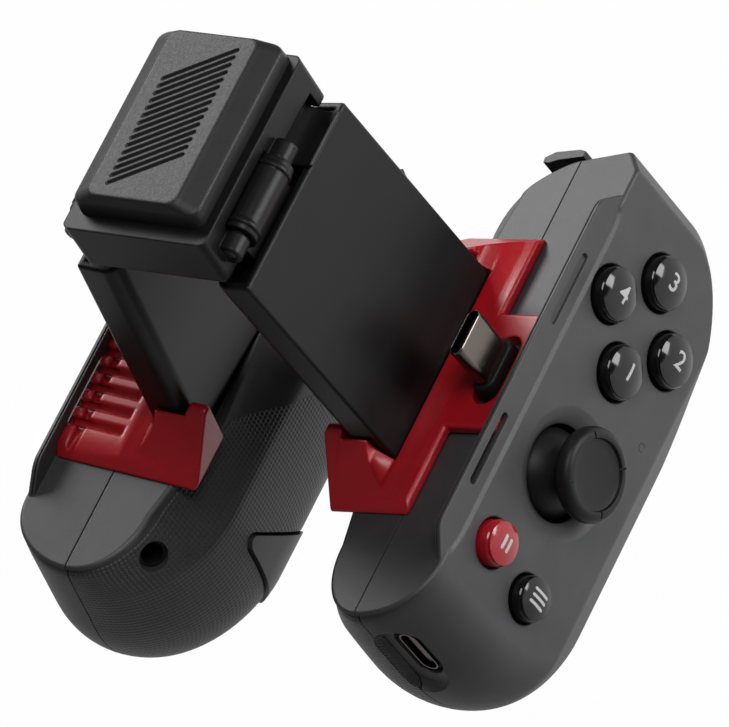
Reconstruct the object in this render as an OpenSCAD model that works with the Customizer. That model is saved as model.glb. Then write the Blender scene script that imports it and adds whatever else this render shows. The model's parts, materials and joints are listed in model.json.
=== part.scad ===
// Folding phone gamepad: two grips on hinged, telescoping arms either side of a small hub.
// Shown with the arms folded back. Every grip piece is drawn flat in the arm frame:
// X runs outwards from the hinge axis, Y along it towards the triggers, Z to the screen side.

/* [Hub] */
// Width of the hub, from hinge side to hinge side
hub_w = 26; // [22:0.5:32]
// Length of the hub along the hinge axes
hub_l = 35.6; // [32:0.2:44]
// Thickness of the hub, front to back
hub_t = 9; // [8.6:0.2:12]
// Radius of the hub's upright edges
hub_edge_r = 1.2; // [0.5:0.1:2]
// Thickness of the cover let into the hub's back
hub_cover_t = 1.2; // [0.8:0.1:2]

/* [Phone pad] */
// Width of the pad's foot
pad_w = 22.8; // [20:0.2:25.6]
// Length of the pad's foot
pad_l = 32.8; // [26:0.2:33]
// Offset of the pad along the hub
pad_mid = 1.3; // [-1.3:0.1:1.3]
// Width of the pad's flat top
pad_top_w = 16.2; // [10:0.2:18]
// Height of the pad above the hub
pad_t = 4.6; // [3:0.1:6]
// Width of each grip groove in the pad
groove_w = 0.6; // [0.4:0.1:1.2]
// Spacing of the grip grooves
groove_pitch = 1.4; // [1.4:0.1:4]
// Slant of the grip grooves
groove_turn = 33; // [0:1:40]

/* [Hinge] */
// Distance of a hinge axis outside the hub's side
hinge_out = 1; // [0.6:0.1:2]
// Depth of the hinge axes below the hub's front
hinge_drop = 5.2; // [4.6:0.1:6]
// Diameter of the hinge barrels
barrel_d = 5.6; // [5:0.1:6.4]
// Length of the hinge barrels
barrel_l = 13.4; // [9:0.2:18]
// Diameter of the hinge pins
pin_d = 2; // [1.6:0.1:2.6]
// Offset of the barrels along the hinge axis, from the hub's middle
barrel_mid = -5.2; // [-7:0.1:7]
// Angle of each arm behind the flat position, as shown
fold_angle = 81; // [60:1:84]

/* [Arm] */
// Width of an arm along the hinge axis
arm_w = 35.2; // [30:0.2:40]
// Thickness of an arm
arm_t = 7; // [6:0.2:8]
// Height of an arm's front face above the hinge axis
arm_front = 0.9; // [0.4:0.1:1.6]
// Distance of an arm's near end from the hinge axis
arm_start = 5.4; // [5:0.1:7]
// Length of an arm
arm_l = 73; // [66:0.5:76]
// Wall of the hollow arm
arm_wall = 1.4; // [1:0.1:2]
// Rounding of the arm's back edges
arm_back_r = 2.6; // [1.5:0.1:3]

/* [Grip] */
// Distance of a grip's inner face from the hinge axis
grip_in = 50.6; // [47:0.2:54]
// Width of a grip
grip_w = 36.8; // [35:0.2:42]
// Height of a grip's upper end above the middle of the arm
grip_top = 43.4; // [41:0.2:48]
// Depth of a grip's lower end below the middle of the arm
grip_bottom = 44.2; // [43:0.2:52]
// Height of the front face above the hinge axis
grip_front = 17; // [16:0.2:20]
// Height of the parting line above the hinge axis
grip_part = 5; // [4.6:0.1:5.6]
// Depth of the grip's back below the hinge axis
grip_back = 14; // [13.2:0.2:15.2]
// Thickness of the front plate round the controls
plate_t = 2; // [1.6:0.1:2.4]
// Overhang of the lip that holds the phone, from the inner face
lip_out = 3.6; // [2.2:0.1:4]
// Thickness of that lip
lip_t = 1.2; // [1:0.1:1.8]

/* [Cradle] */
// Height of the cradle wall off the grip's inner face
wall_proud = 2; // [1.4:0.1:3]
// Reach of the cradle ears from the grip's inner face
ear_reach = 8.8; // [7:0.2:9.4]
// Half length of the cradle along the grip
cradle_half_l = 26.2; // [25.6:0.2:27.6]
// Height of the plug side's wall above the hinge axis
wall_front = 6.4; // [6:0.2:8]
// Radius of the cove between ear and wall
cove_r = 5.6; // [3:0.2:6]
// Half width of the tongue that carries the plug
tongue_half_w = 10.7; // [9:0.2:13]
// Spacing of the air slots in the other cradle
slot_pitch = 3.3; // [2.6:0.1:5]
// Width of the air slots
slot_w = 1.3; // [0.8:0.1:1.8]

/* [Plug and sockets] */
// Height of the phone plug above the hinge axis
plug_up = 11.2; // [10.6:0.1:12]
// Width of the plug's metal shell
plug_w = 8.34; // [8:0.02:9]
// Thickness of the plug's metal shell
plug_t = 2.56; // [2.4:0.02:3]
// Bare length of the plug
plug_l = 8; // [6:0.1:9]
// Bore of the headphone socket
jack_bore_d = 3.6; // [3.4:0.1:4]
// Depth of the headphone socket
jack_depth = 10; // [8:0.5:10]

/* [Controls] */
// Distance of the face buttons' middle from the grip's inner face
cluster_in = 15.2; // [13.5:0.1:18]
// Height of the face buttons' middle along the grip
cluster_y = 21; // [18:0.2:23]
// Distance of each face button from their middle
cluster_r = 8.5; // [8:0.1:9]
// Diameter of a face button
face_d = 8.6; // [7:0.1:9]
// Diameter of a small button
small_d = 7.2; // [5:0.1:8]
// Height of a button above the front face
button_proud = 2.7; // [1.8:0.1:3.2]
// Travel of a button
button_travel = 1; // [0.6:0.1:1.2]
// Diameter of a thumbstick cap
cap_d = 14.8; // [13:0.2:17]
// Height of a thumbstick above the front face
stick_h = 6.4; // [6.2:0.2:9]
// Diameter of the dish round a thumbstick
dish_d = 20; // [18:0.2:21]
// Tilt of a thumbstick each way
stick_tilt = 13; // [10:1:14]
// Span of the direction pad
dpad_span = 18.4; // [14:0.2:19]
// Width of each arm of the direction pad
dpad_arm_w = 6.2; // [4:0.2:7]
// Width of a trigger
trigger_w = 16; // [14:0.5:18]

/* [Fits] */
// Clearance round parts that move
run_gap = 0.3; // [0.2:0.05:0.4]
// Radial clearance of a pin in the part that turns on it
pin_gap = 0.05; // [0.02:0.01:0.1]
// Radial clearance of a pin in the part that holds it
seat_gap = 0.02; // [0.01:0.01:0.05]

/* [Hidden] */
$fn = 48;
eps = 0.01;
far = 200;
black = [0.05, 0.05, 0.055];
charcoal = [0.13, 0.13, 0.14];
shell_grey = [0.2, 0.2, 0.21];
red = [0.75, 0.03, 0.05];
nickel = [0.7, 0.68, 0.64];
board_green = [0.05, 0.25, 0.12];

// Grip form, as sections across its width: the flat inner face comes first, the outer side last
grip_out = grip_in + grip_w;
rear_depth = grip_part + grip_back;
upper_lean = 1.8;
// Bevel along the front's upper end, and the wider one down its outer side
bevel_drop = 3;
bevel_in = 3.5;
edge_drop = 3.7;
edge_in = 6;
front_low_r = 10.2;
// Reach of the outer corners, across and along the grip
low_corner = [19.4, 14.6];
high_corner = [18.4, 32.4];
// Back: deepest line, rise towards the inner face, fullness of the outer side
back_mid = grip_in + 22.8;
inner_rise = 4;
outer_power = 2.2;
// Ends of the back: radius in the middle, and what changes at the inner face
low_back_r = 21;
low_inner_more = 7.5;
low_inner_slack = 0.75;
high_back_r = 19.6;
high_inner_r = 6;
high_inner_d = 8.6;
inner_blend = 8.2;
foot_rise = 2.6;
foot_blend = 3.6;
arc_steps = 12;
stations = [for (s = [0, 0.025, 0.07, 0.15, 0.27, 0.4, 0.52, 0.63, 0.725, 0.805, 0.87, 0.92, 0.957, 0.983,
        1])
    grip_in + s * grip_w];

// Points of an arc, from one angle to another
function arc(x, y, r, from, to) =
    [for (i = [0:arc_steps]) let (a = from + (to - from) * i / arc_steps) [x + r * cos(a), y + r * sin(a)]];

// Outline with its own radius at each corner
function outline(l, r, b, t, lb, rb, rt, lt) = concat(
    arc(l + lb, b + lb, lb, 180, 270), arc(r - rb, b + rb, rb, 270, 360),
    arc(r - rt, t - rt, rt, 0, 90), arc(l + lt, t - lt, lt, 90, 180));

// Fall of a quarter ellipse at a share of its length
function fall(share) = 1 - sqrt(1 - share * share);

// Part of the way from the inner face that is left, over a distance
function near_inner(x, over) = max(0, 1 - (x - grip_in) / over);
// Share of a distance before the outer side that is passed
function past(x, over) = min(1, max(0, (x - grip_out + over) / over));

// Lower and upper ends, front and back of the section at a place across the grip
function low_y(x) = -grip_bottom + low_corner[1] * fall(past(x, low_corner[0]))
    + foot_rise * pow(near_inner(x, foot_blend), 2);
function high_y(x) = grip_top - high_corner[1] * fall(past(x, high_corner[0]));
function slant(x) = let (s = min(past(x, high_corner[0]), 0.8))
    sqrt(1 + pow(high_corner[1] / high_corner[0] * s, 2) / (1 - s * s));
function front_z(x) = grip_front - edge_drop * past(x, edge_in);
function back_d(x) = x < back_mid ? rear_depth - inner_rise * pow((back_mid - x) / (back_mid - grip_in), 2)
    : rear_depth * pow(1 - pow((x - back_mid) / (grip_out - back_mid + 1.3), outer_power), 1 / outer_power);

// Rear section, grown outwards by a margin
function rear_ring(x, grow) =
    let (n = near_inner(x, inner_blend), b = low_y(x) - grow, t = high_y(x) - upper_lean + grow,
         d = back_d(x) + grow, high_d = d + (high_inner_d + grow - d) * n,
         low_r = min(low_back_r + low_inner_more * n, 0.49 * (t - b)), low_k = 1 + low_inner_slack * n,
         high_r = min(high_back_r + (high_inner_r - high_back_r) * n, 0.49 * (t - b)), high_k = 1 + 0.5 * n)
    concat(
        [for (i = [0:arc_steps]) let (a = 90 * i / arc_steps)
            [b + low_r - low_r * pow(cos(a), low_k), grip_part - d * pow(sin(a), low_k)]],
        [for (i = [0:arc_steps]) let (a = 90 - 90 * i / arc_steps)
            [t - high_r + high_r * pow(cos(a), high_k), grip_part - high_d * pow(sin(a), high_k)]]);

// Front section: straight upper side, bevel, flat face, rounded lower end
function front_ring(x) =
    let (b = low_y(x), t = high_y(x), f = front_z(x), r = front_low_r)
    concat(
        [[t - upper_lean, grip_part], [t, f - bevel_drop], [t - bevel_in * slant(x), f]],
        [for (i = [0:arc_steps]) let (a = 90 - 90 * i / arc_steps)
            [b + r - r * cos(a), grip_part + (f - grip_part) * sin(a)]]);

// Points of a stack of rings, each [height, outline]
function stack_points(rings) = [for (ring = rings) for (p = ring[1]) [p[0], p[1], ring[0]]];
// The same stack lying along X, its outlines drawn in Y and Z
function row_points(rings) = [for (ring = rings) for (p = ring[1]) [ring[0], p[0], p[1]]];

// Solid through a stack of rings, lowest first
module loft(rings, lying = false) {
    n = len(rings[0][1]);
    last = len(rings) - 1;
    sides = [for (k = [0:last - 1]) for (i = [0:n - 1])
        let (a = k * n + i, b = k * n + (i + 1) % n) each [[a, a + n, b + n], [a, b + n, b]]];
    lower = [for (i = [0:n - 1]) i];
    upper = [for (i = [n - 1:-1:0]) last * n + i];
    points = lying ? row_points(rings) : stack_points(rings);
    polyhedron(points, concat(sides, [lower, upper]), convexity = 6);
}

function rear_rings(grow = 0) = [for (x = stations) [x, rear_ring(x, grow)]];
front_rings = [for (x = stations) [x, front_ring(x)]];

// Height of the hub's front above the floor, with the folded grips standing on their outer edges
floor_drop = max([for (p = row_points(rear_rings())) p[0] * sin(fold_angle) - p[2] * cos(fold_angle)]);
hub_front = floor_drop + hinge_drop;
hinge_x = hub_w / 2 + hinge_out;
hinge_z = floor_drop;
bumper_proud = 0.7;
mid_y = (grip_bottom - grip_top - bumper_proud) / 2;

// Arm and its slot in the grip
arm_mid_z = arm_front - arm_t / 2;
arm_end = arm_start + arm_l;
slot_end = arm_end + 1;

// Cradle
wall_x = grip_in - wall_proud;
ear_x = grip_in - ear_reach;
ear_inner_y = arm_w / 2 + run_gap;
ear_back = arm_front - arm_t - 3.6;
ear_hook_y = arm_w / 2 - 2.2;
cove_foot = arm_front - 2;
tongue_front = grip_front - lip_t - 0.3;
air_slots = 2 * floor((cradle_half_l - 3.2) / slot_pitch) + 1;
boot_w = plug_w + 1.6;
boot_t = plug_t + 1.4;
boot_proud = 1.7;
boot_play = 1.4;
plug_wall = 0.35;

// Inside of the front shell
inner_wall = 1.6;
cavity_in = grip_in + inner_wall;
cavity_out = grip_out - 6.4;
cavity_low = -grip_bottom + 11;
cavity_r = 8;
cavity_high = grip_top - 6;
plate_back = grip_front - plate_t;
board_t = 1.6;
board_z = grip_part + 0.2;
keypad_z = board_z + board_t;
keypad_t = 1;
keypad_in = 2;

// Controls, as [x, y]
cluster_x = grip_in + cluster_in;
face_spots = [for (a = [-90, 0, 90, 180]) [cluster_x + cluster_r * cos(a), cluster_y + cluster_r * sin(a)]];
low_stick = [cluster_x, -6.6];
high_stick = [cluster_x, cluster_y];
dpad_spot = [grip_in + 14.4, -8];
home_spot = [grip_in + 7.9, -24.8];
menu_spot = [grip_in + 19.2, -27];
light_spot = [grip_in + 27.1, 7];
flange_t = 1.1;
flange_out = 1;
flange_top = plate_back - run_gap;
button_foot = flange_top - flange_t;

// Thumbstick
pivot_z = board_z + 4.8;
skirt_r = 8.2;
skirt_t = 1;
stick_base_r = 6.4;
stick_well_r = 5.2;
ring_out_r = 4.6;
ring_in_r = 3;
ring_t = 1.6;
stick_pin_r = 0.6;
post_r = 1.7;
press_travel = 0.5;
cap_r = cap_d / 2;
cap_top = grip_front + stick_h;
cap_low = cap_top - 3.4;
neck_r = 3.2;
neck_low = pivot_z + skirt_r + press_travel + 0.2;
post_top = cap_top - 1.8;
stick_hole_r = 7.6;

// Bumper, trigger and rear button
bumper_in = grip_in + 0.8;
bumper_l = 28;
bumper_stem = [grip_in + 3.4, grip_in + 19.4];
bumper_travel = 0.8;
trigger_in = 16.5;
trigger_mid = grip_in + trigger_in;
trigger_pivot = [grip_top - 17.5, -6.5];
trigger_pin_r = 1.2;
trigger_hub_r = 2.8;
trigger_pocket_y = trigger_pivot[0] - trigger_hub_r - 1;
trigger_pocket_z = trigger_pivot[1] + trigger_hub_r + 1;
rear_key_plan = [for (p = [[14.7, -24], [15.7, -25], [32.5, -25.6], [32.5, -10.8], [14.9, -23]])
    [grip_in + p[0], p[1]]];
rear_key_proud = 0.5;
rear_key_foot = arm_front - arm_t - 1.5;

// Sockets
port_spot = [grip_in + 11.6, 9.2];
port_w = 8.94;
port_t = 3.26;
port_l = 7;
jack_spot = [grip_in + 4.2, -36.3, -5.8];
jack_turn = -35;
jack_sunk = 1.2;
jack_mouth = 0.5;
jack_wall = 0.8;

// Places a piece drawn in the arm frame on the right or the left side
module right() { translate([hinge_x, mid_y, hinge_z]) rotate([0, fold_angle, 0]) children(); }
module left() { mirror([1, 0, 0]) right() children(); }

// Flat shapes
module round_rect(w, h, r) {
    square([w - 2 * r, h], center = true);
    square([w, h - 2 * r], center = true);
    for (x = [-1, 1], y = [-1, 1]) translate([x * (w / 2 - r), y * (h / 2 - r)]) circle(r);
}
module stadium(w, h) {
    square([w - h, h], center = true);
    for (x = [-1, 1]) translate([x * (w - h) / 2, 0]) circle(h / 2);
}

// Turns a flat shape drawn in Y and Z into a bar along X
module along_x(from, to) translate([from, 0, 0]) rotate([90, 0, 90]) linear_extrude(to - from) children();
// Turns a flat shape drawn in X and Z into a bar along Y
module along_y(from, to) translate([0, to, 0]) rotate([90, 0, 0]) linear_extrude(to - from) children();
module rod_y(r, l) { rotate([90, 0, 0]) cylinder(r = r, h = l, center = true); }
module rod_x(r, l) { rotate([0, 90, 0]) cylinder(r = r, h = l, center = true); }

// Hub
lug_l = 3.2;
notch_l = barrel_l + 2 * run_gap;
neck_t = 3.2;
module at_hinge(side) mirror([side < 0 ? 1 : 0, 0, 0])
    translate([hinge_x, mid_y + barrel_mid, hinge_z]) children();
module hub_frame() color(black) difference() {
    union() {
        difference() {
            translate([0, mid_y, hub_front - hub_t])
                linear_extrude(hub_t) round_rect(hub_w, hub_l, hub_edge_r);
            for (side = [-1, 1]) at_hinge(side) for (end = [-1, 1]) side_recess(end);
        }
        for (side = [-1, 1]) at_hinge(side) rod_y(barrel_d / 2 - 0.8, notch_l + 2 * lug_l);
    }
    for (side = [-1, 1]) at_hinge(side) {
        rod_y(barrel_d / 2 + run_gap, notch_l);
        rod_y(pin_d / 2 + seat_gap, notch_l + 2 * lug_l + 2);
        translate([-neck_deep, -notch_l / 2, -far]) cube([far, notch_l, far]);
        translate([-hinge_out, -notch_l / 2, 0]) cube([far, notch_l, far]);
    }
    translate([0, mid_y, hub_front - hub_t - eps]) linear_extrude(hub_cover_t + eps) hub_cover_shape(0);
}
// Relief in the hub's side beyond a hinge lug
neck_deep = neck_t / 2 - arm_mid_z + run_gap;
module side_recess(end) {
    from = notch_l / 2 + lug_l;
    to = hub_l / 2 - end * barrel_mid - 2.6;
    top = end > 0 ? -0.4 : 2.4;
    translate([-hinge_out - 2, end > 0 ? from : -to, -far + top]) cube([far, max(to - from, eps), far]);
}
module hub_cover_shape(inset) { round_rect(hub_w - 13.4 - 2 * inset, hub_l - 6 - 2 * inset, hub_edge_r); }
module hub_cover() color(charcoal)
    translate([0, mid_y, hub_front - hub_t]) linear_extrude(hub_cover_t) hub_cover_shape(0.05);

// Pad with straight, slanting grip grooves across its flat top
pad_corner_r = 1.8;
function pad_ring(w, l, r) = outline(-w / 2, w / 2, -l / 2, l / 2, r, r, r, r);
pad_wall = pad_t - 1.9;
pad_rows = floor((pad_l - 11) / 2 / groove_pitch);
module phone_pad() color(charcoal) translate([0, mid_y + pad_mid, hub_front]) difference() {
    loft([[0, pad_ring(pad_w, pad_l, pad_corner_r)],
        [pad_wall, pad_ring(pad_w, pad_l - 0.5, pad_corner_r)],
        [pad_wall + 0.3, pad_ring(pad_w - 0.8, pad_l - 0.6, pad_corner_r)],
        [pad_t - 0.4, pad_ring(pad_top_w + 0.9, pad_l - 1.3, pad_corner_r)],
        [pad_t, pad_ring(pad_top_w, pad_l - 1.8, pad_corner_r)]]);
    for (i = [-pad_rows:pad_rows]) translate([0, i * groove_pitch, pad_t]) rotate(groove_turn)
        cube([pad_top_w * 0.66 / cos(groove_turn), groove_w, 0.8], center = true);
}

module hinge_pin(side) color(nickel) at_hinge(side) rod_y(pin_d / 2, notch_l + 2 * lug_l - 0.4);

// Arm: hollow bar with rounded back edges, and the hinge leaf set in its near end
module arm_shape(inset) {
    front = arm_front - inset;
    back = arm_front - arm_t + inset;
    half = arm_w / 2 - inset;
    r = max(arm_back_r - inset, 0.4);
    translate([-half, back + r]) square([2 * half, front - back - r]);
    translate([-half + r, back]) square([2 * half - 2 * r, r + eps]);
    for (s = [-1, 1]) translate([s * (half - r), back + r]) circle(r);
}
module arm() color(black) along_x(arm_start, arm_end) difference() {
    arm_shape(0);
    arm_shape(arm_wall);
}
module hinge_leaf() color(charcoal) difference() {
    union() {
        translate([0, barrel_mid, 0]) {
            rod_y(barrel_d / 2, barrel_l);
            for (s = [-1, 1]) translate([0, s * (barrel_l / 2 - 1.4), 0]) rod_y(barrel_d / 2 + 0.15, 0.8);
            translate([0, -barrel_l / 2, arm_mid_z - neck_t / 2]) cube([arm_start + 3, barrel_l, neck_t]);
        }
        along_x(arm_start + 2.4, arm_start + 15) arm_shape(arm_wall + seat_gap);
    }
    translate([0, barrel_mid, 0]) rod_y(pin_d / 2 + pin_gap, far);
}

// Grip shells
module arm_slot() along_x(grip_in - far / 4, slot_end)
    translate([-arm_w / 2 - run_gap, arm_front - arm_t - run_gap])
        square([arm_w + 2 * run_gap, arm_t + 2 * run_gap]);

module lip() {
    y_low = -cradle_half_l - 2.6;
    y_high = cradle_half_l + 4.6;
    lip_x = grip_in - lip_out;
    translate([0, 0, grip_front - lip_t]) linear_extrude(lip_t)
        polygon([[grip_in + 1, y_low - 7], [grip_in, y_low - 6], [lip_x + 0.6, y_low - 0.6], [lip_x, y_low],
            [lip_x, y_high], [lip_x + 0.8, y_high + 1], [grip_in, y_high + 4], [grip_in + 1, y_high + 5]]);
}

module cavity_shape(inset) translate([(cavity_in + cavity_out) / 2, (cavity_low + cavity_high) / 2])
    round_rect(cavity_out - cavity_in - 2 * inset, cavity_high - cavity_low - 2 * inset,
        cavity_r - inset / 2);

module front_shell(face, smalls, stick, cross) difference() {
    union() {
        loft(front_rings, true);
        lip();
    }
    translate([0, 0, grip_part - eps]) linear_extrude(plate_back - grip_part + eps) cavity_shape(0);
    for (s = face) translate(s) cylinder(d = face_d + 2 * run_gap, h = far);
    for (s = smalls) translate(s) cylinder(d = small_d + 2 * run_gap, h = far);
    translate(stick) {
        cylinder(r = stick_hole_r, h = far);
        translate([0, 0, plate_back + 0.5])
            cylinder(r1 = stick_hole_r, r2 = dish_d / 2, h = plate_t - 0.5 + eps);
    }
    for (s = cross) translate(s) {
        cylinder(d = dpad_span + 2.4, h = far);
        translate([0, 0, plate_back + 0.5])
            cylinder(d1 = dpad_span + 2.4, d2 = dpad_span + 4.4, h = plate_t - 0.5 + eps);
    }
    for (s = [-1, 1]) translate([grip_in - 1.5, 1 + s * 15, grip_front - 1.4])
        linear_extrude(far) rotate(90) stadium(13, 1.2);
}

module rear_shell() difference() {
    loft(rear_rings(), true);
    arm_slot();
    trigger_room();
    bumper_room();
    at_trigger() rod_x(trigger_pin_r + seat_gap, trigger_w + 5);
    rear_key_shape(run_gap, rear_key_foot + button_travel + run_gap);
}

module right_front_shell() color(shell_grey) difference() {
    front_shell(face_spots, [home_spot, menu_spot], low_stick, []);
    translate(light_spot) cylinder(r = 0.6 + seat_gap, h = far);
    port_room();
}
module left_front_shell() color(shell_grey) front_shell([], [home_spot, menu_spot], high_stick, [dpad_spot]);
module right_rear_shell() color(charcoal) rear_shell();
module left_rear_shell() color(charcoal) difference() {
    rear_shell();
    at_jack() {
        translate([0, 0, -far]) cylinder(r = jack_bore_d / 2 + jack_wall + seat_gap, h = far - jack_sunk);
        translate([0, 0, -2 * jack_sunk]) cylinder(r = jack_bore_d / 2 + jack_mouth, h = far);
    }
}

// Cradle: a wall on the grip's inner face with a coved ear each side of the arm, cut off at 45 degrees
module cradle_block(front) difference() {
    translate([0, 0, ear_back]) linear_extrude(front - ear_back) polygon([[grip_in, -cradle_half_l],
        [ear_x, -cradle_half_l + ear_reach], [ear_x, cradle_half_l - ear_reach], [grip_in, cradle_half_l]]);
    along_y(-far / 2, far / 2) {
        translate([-far + wall_x, cove_foot + cove_r]) square([far, far]);
        translate([-far + wall_x - cove_r, cove_foot]) square([far, far]);
        translate([wall_x - cove_r, cove_foot + cove_r]) circle(cove_r);
    }
    arm_slot();
    translate([ear_x - far / 2, -ear_hook_y, ear_back - far / 2])
        cube([far, 2 * ear_hook_y, far / 2 + arm_front - arm_t / 2 - ear_back]);
}
module right_cradle() color(red) difference() {
    union() {
        cradle_block(wall_front);
        translate([wall_x, -tongue_half_w, wall_front - 1])
            cube([wall_proud, 2 * tongue_half_w, tongue_front - wall_front + 1]);
    }
    plug_bar(boot_w + 2 * boot_play, boot_t + 1, wall_x - 1, grip_in + 1);
}
module left_cradle() color(red) difference() {
    cradle_block(tongue_front);
    for (i = [-(air_slots - 1) / 2:(air_slots - 1) / 2])
        translate([wall_x - eps, i * slot_pitch - slot_w / 2, arm_front + 5])
            cube([wall_proud - 0.5, slot_w, far]);
    translate([wall_x - eps, -cradle_half_l, tongue_front - 3.2])
        cube([wall_proud - 0.9, 2 * cradle_half_l, 1.1]);
}

// Phone plug and sockets
module plug_bar(w, t, from, to) along_x(from, to) translate([0, plug_up]) stadium(w, t);
plug_root = wall_x - boot_proud;
module phone_plug_shell() color(nickel) difference() {
    plug_bar(plug_w, plug_t, plug_root - plug_l, plug_root + 1);
    plug_bar(plug_w - 2 * plug_wall, plug_t - 2 * plug_wall, 0, far);
}
module phone_plug_core() color(black) difference() {
    union() {
        plug_bar(boot_w, boot_t, plug_root, grip_in);
        plug_bar(plug_w - 2 * plug_wall, plug_t - 2 * plug_wall, plug_root - plug_l + 0.4, plug_root + 1);
    }
    difference() {
        plug_bar(plug_w, plug_t, plug_root, plug_root + 1);
        plug_bar(plug_w - 2 * plug_wall, plug_t - 2 * plug_wall, plug_root - 1, plug_root + 2);
    }
    plug_bar(plug_w - 5 * plug_wall, 0.8, 0, plug_root - 1.2);
}
module port_bar(w, t, from, to) along_y(from, to) translate(port_spot) stadium(w, t);
module port_room() {
    port_bar(port_w + 2 * seat_gap, port_t + 2 * seat_gap, -grip_bottom - 2, -grip_bottom + 9 + eps);
    port_bar(port_w + 5, port_t + 3, -grip_bottom - 2, -grip_bottom + 1.4);
}
module charging_socket() color(nickel) difference() {
    port_bar(port_w, port_t, -grip_bottom + 1.6, -grip_bottom + 1.6 + port_l);
    difference() {
        port_bar(port_w - 0.6, port_t - 0.6, -grip_bottom, -grip_bottom + port_l);
        port_bar(port_w - 2.2, 0.8, -grip_bottom + 2.2, -grip_bottom + port_l);
    }
}
module at_jack() { translate(jack_spot) rotate([0, 0, jack_turn]) rotate([135, 0, 0]) children(); }
module headphone_socket() color(black) at_jack() translate([0, 0, -jack_depth - jack_sunk]) difference() {
    translate([0, 0, -1.2]) cylinder(r = jack_bore_d / 2 + jack_wall, h = jack_depth + 1.2);
    cylinder(r = jack_bore_d / 2, h = far);
}

// Boards, keypads and the status light
module board() color(board_green) translate([0, 0, board_z]) linear_extrude(board_t) cavity_shape(run_gap);
module keypad(face, smalls, stick) color(charcoal) {
    difference() {
        translate([0, 0, keypad_z]) linear_extrude(keypad_t) cavity_shape(keypad_in);
        for (s = stick) translate(s) cylinder(r = skirt_r + 1.4, h = far);
    }
    for (s = concat(face, smalls)) translate([s[0], s[1], keypad_z])
        cylinder(r1 = 3.2, r2 = 2.2, h = button_foot - button_travel - run_gap - keypad_z);
}
module status_light() color("white") translate([light_spot[0], light_spot[1], keypad_z + keypad_t])
    cylinder(r = 0.6, h = grip_front - keypad_z - keypad_t - 0.05);

// Buttons: plungers with a domed top, and a flange that keeps clear of the shell's inside
module button(spot, d) {
    dome = button_proud * 0.6;
    r = d / 2;
    sphere_r = (r * r + dome * dome) / (2 * dome);
    dome_z = grip_front + button_proud - dome;
    intersection() {
        translate([spot[0], spot[1], button_foot]) cylinder(r = r + flange_out, h = flange_t);
        translate([0, 0, button_foot - 1]) linear_extrude(flange_t + 2) cavity_shape(run_gap);
    }
    translate([spot[0], spot[1], button_foot]) cylinder(r = r, h = dome_z - button_foot);
    translate(spot) intersection() {
        translate([0, 0, grip_front + button_proud - sphere_r]) sphere(sphere_r);
        translate([0, 0, dome_z - eps]) cylinder(r = r, h = far);
    }
}
module face_button(i) color(black) button(face_spots[i], face_d);
module small_button(spot, shade) color(shade) button(spot, small_d);

// Direction pad on a two-axis pivot
dpad_pivot_z = board_z + 5.2;
dpad_foot = plate_back - 2.6;
module dpad_post() color(charcoal) translate(dpad_spot) difference() {
    translate([0, 0, keypad_z]) cylinder(r = 5.6, h = dpad_pivot_z + 1 - keypad_z);
    translate([0, 0, keypad_z + 0.8]) cylinder(r = 4.4, h = far);
    translate([0, 0, dpad_pivot_z]) rod_x(stick_pin_r + pin_gap, far);
}
module dpad_pivot() color(nickel) translate([dpad_spot[0], dpad_spot[1], dpad_pivot_z]) difference() {
    union() {
        cylinder(r = 3.6, h = ring_t, center = true);
        rod_x(stick_pin_r, 10.6);
    }
    cylinder(r = 2.2, h = far, center = true);
    rod_y(stick_pin_r + pin_gap, far);
}
module dpad() color(black) translate(dpad_spot) {
    intersection() {
        translate([0, 0, dpad_foot]) linear_extrude(grip_front + button_proud - dpad_foot) for (a = [0, 90])
            rotate(a) round_rect(dpad_span, dpad_arm_w, 1);
        union() {
            translate([0, 0, grip_front + button_proud + 32]) difference() {
                translate([0, 0, -far / 2]) cube([far, far, far], center = true);
                sphere(32.6);
            }
            cylinder(r = 1.4, h = grip_front + 1);
        }
    }
    translate([0, 0, dpad_pivot_z - 1]) cylinder(r = 1.2, h = dpad_foot - dpad_pivot_z + 1 + eps);
    translate([0, 0, dpad_pivot_z]) rod_y(stick_pin_r, 6.4);
}

// Thumbsticks: gimbal ring, post with a dust skirt, and cap
module stick_base(spot) color(charcoal) translate(spot) difference() {
    translate([0, 0, keypad_z]) cylinder(r = stick_base_r, h = pivot_z + 1.4 - keypad_z);
    translate([0, 0, keypad_z + 0.5]) cylinder(r = stick_well_r, h = far);
    translate([0, 0, pivot_z]) rod_x(stick_pin_r + pin_gap, far);
}
module stick_ring(spot) color(nickel) translate([spot[0], spot[1], pivot_z]) difference() {
    union() {
        cylinder(r = ring_out_r, h = ring_t, center = true);
        rod_x(stick_pin_r, 2 * stick_well_r + 2);
    }
    cylinder(r = ring_in_r, h = far, center = true);
    rod_y(stick_pin_r + pin_gap, far);
}
module stick_post(spot) color(black) translate([spot[0], spot[1], pivot_z]) {
    translate([0, 0, -1.8]) cylinder(r = post_r, h = post_top - pivot_z + 1.8);
    rod_y(stick_pin_r, 2 * ring_out_r - 0.8);
    difference() {
        sphere(skirt_r);
        sphere(skirt_r - skirt_t);
        translate([0, 0, 1.4 - far / 2]) cube(far, center = true);
    }
}
module stick_cap(spot) color(black) translate([spot[0], spot[1], 0]) difference() {
    rotate_extrude() polygon([[0, neck_low], [neck_r, neck_low], [neck_r, cap_low - 0.6],
        [cap_r - 1.2, cap_low], [cap_r, cap_low + 1.1], [cap_r, cap_top - 1.2], [cap_r - 0.8, cap_top - 0.2],
        [cap_r - 1.8, cap_top], [cap_r - 2.6, cap_top - 0.5], [0, cap_top - 0.9]]);
    translate([0, 0, neck_low - 1])
        cylinder(r = post_r + run_gap / 2, h = post_top + press_travel + 0.1 - neck_low + 1);
}

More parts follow.
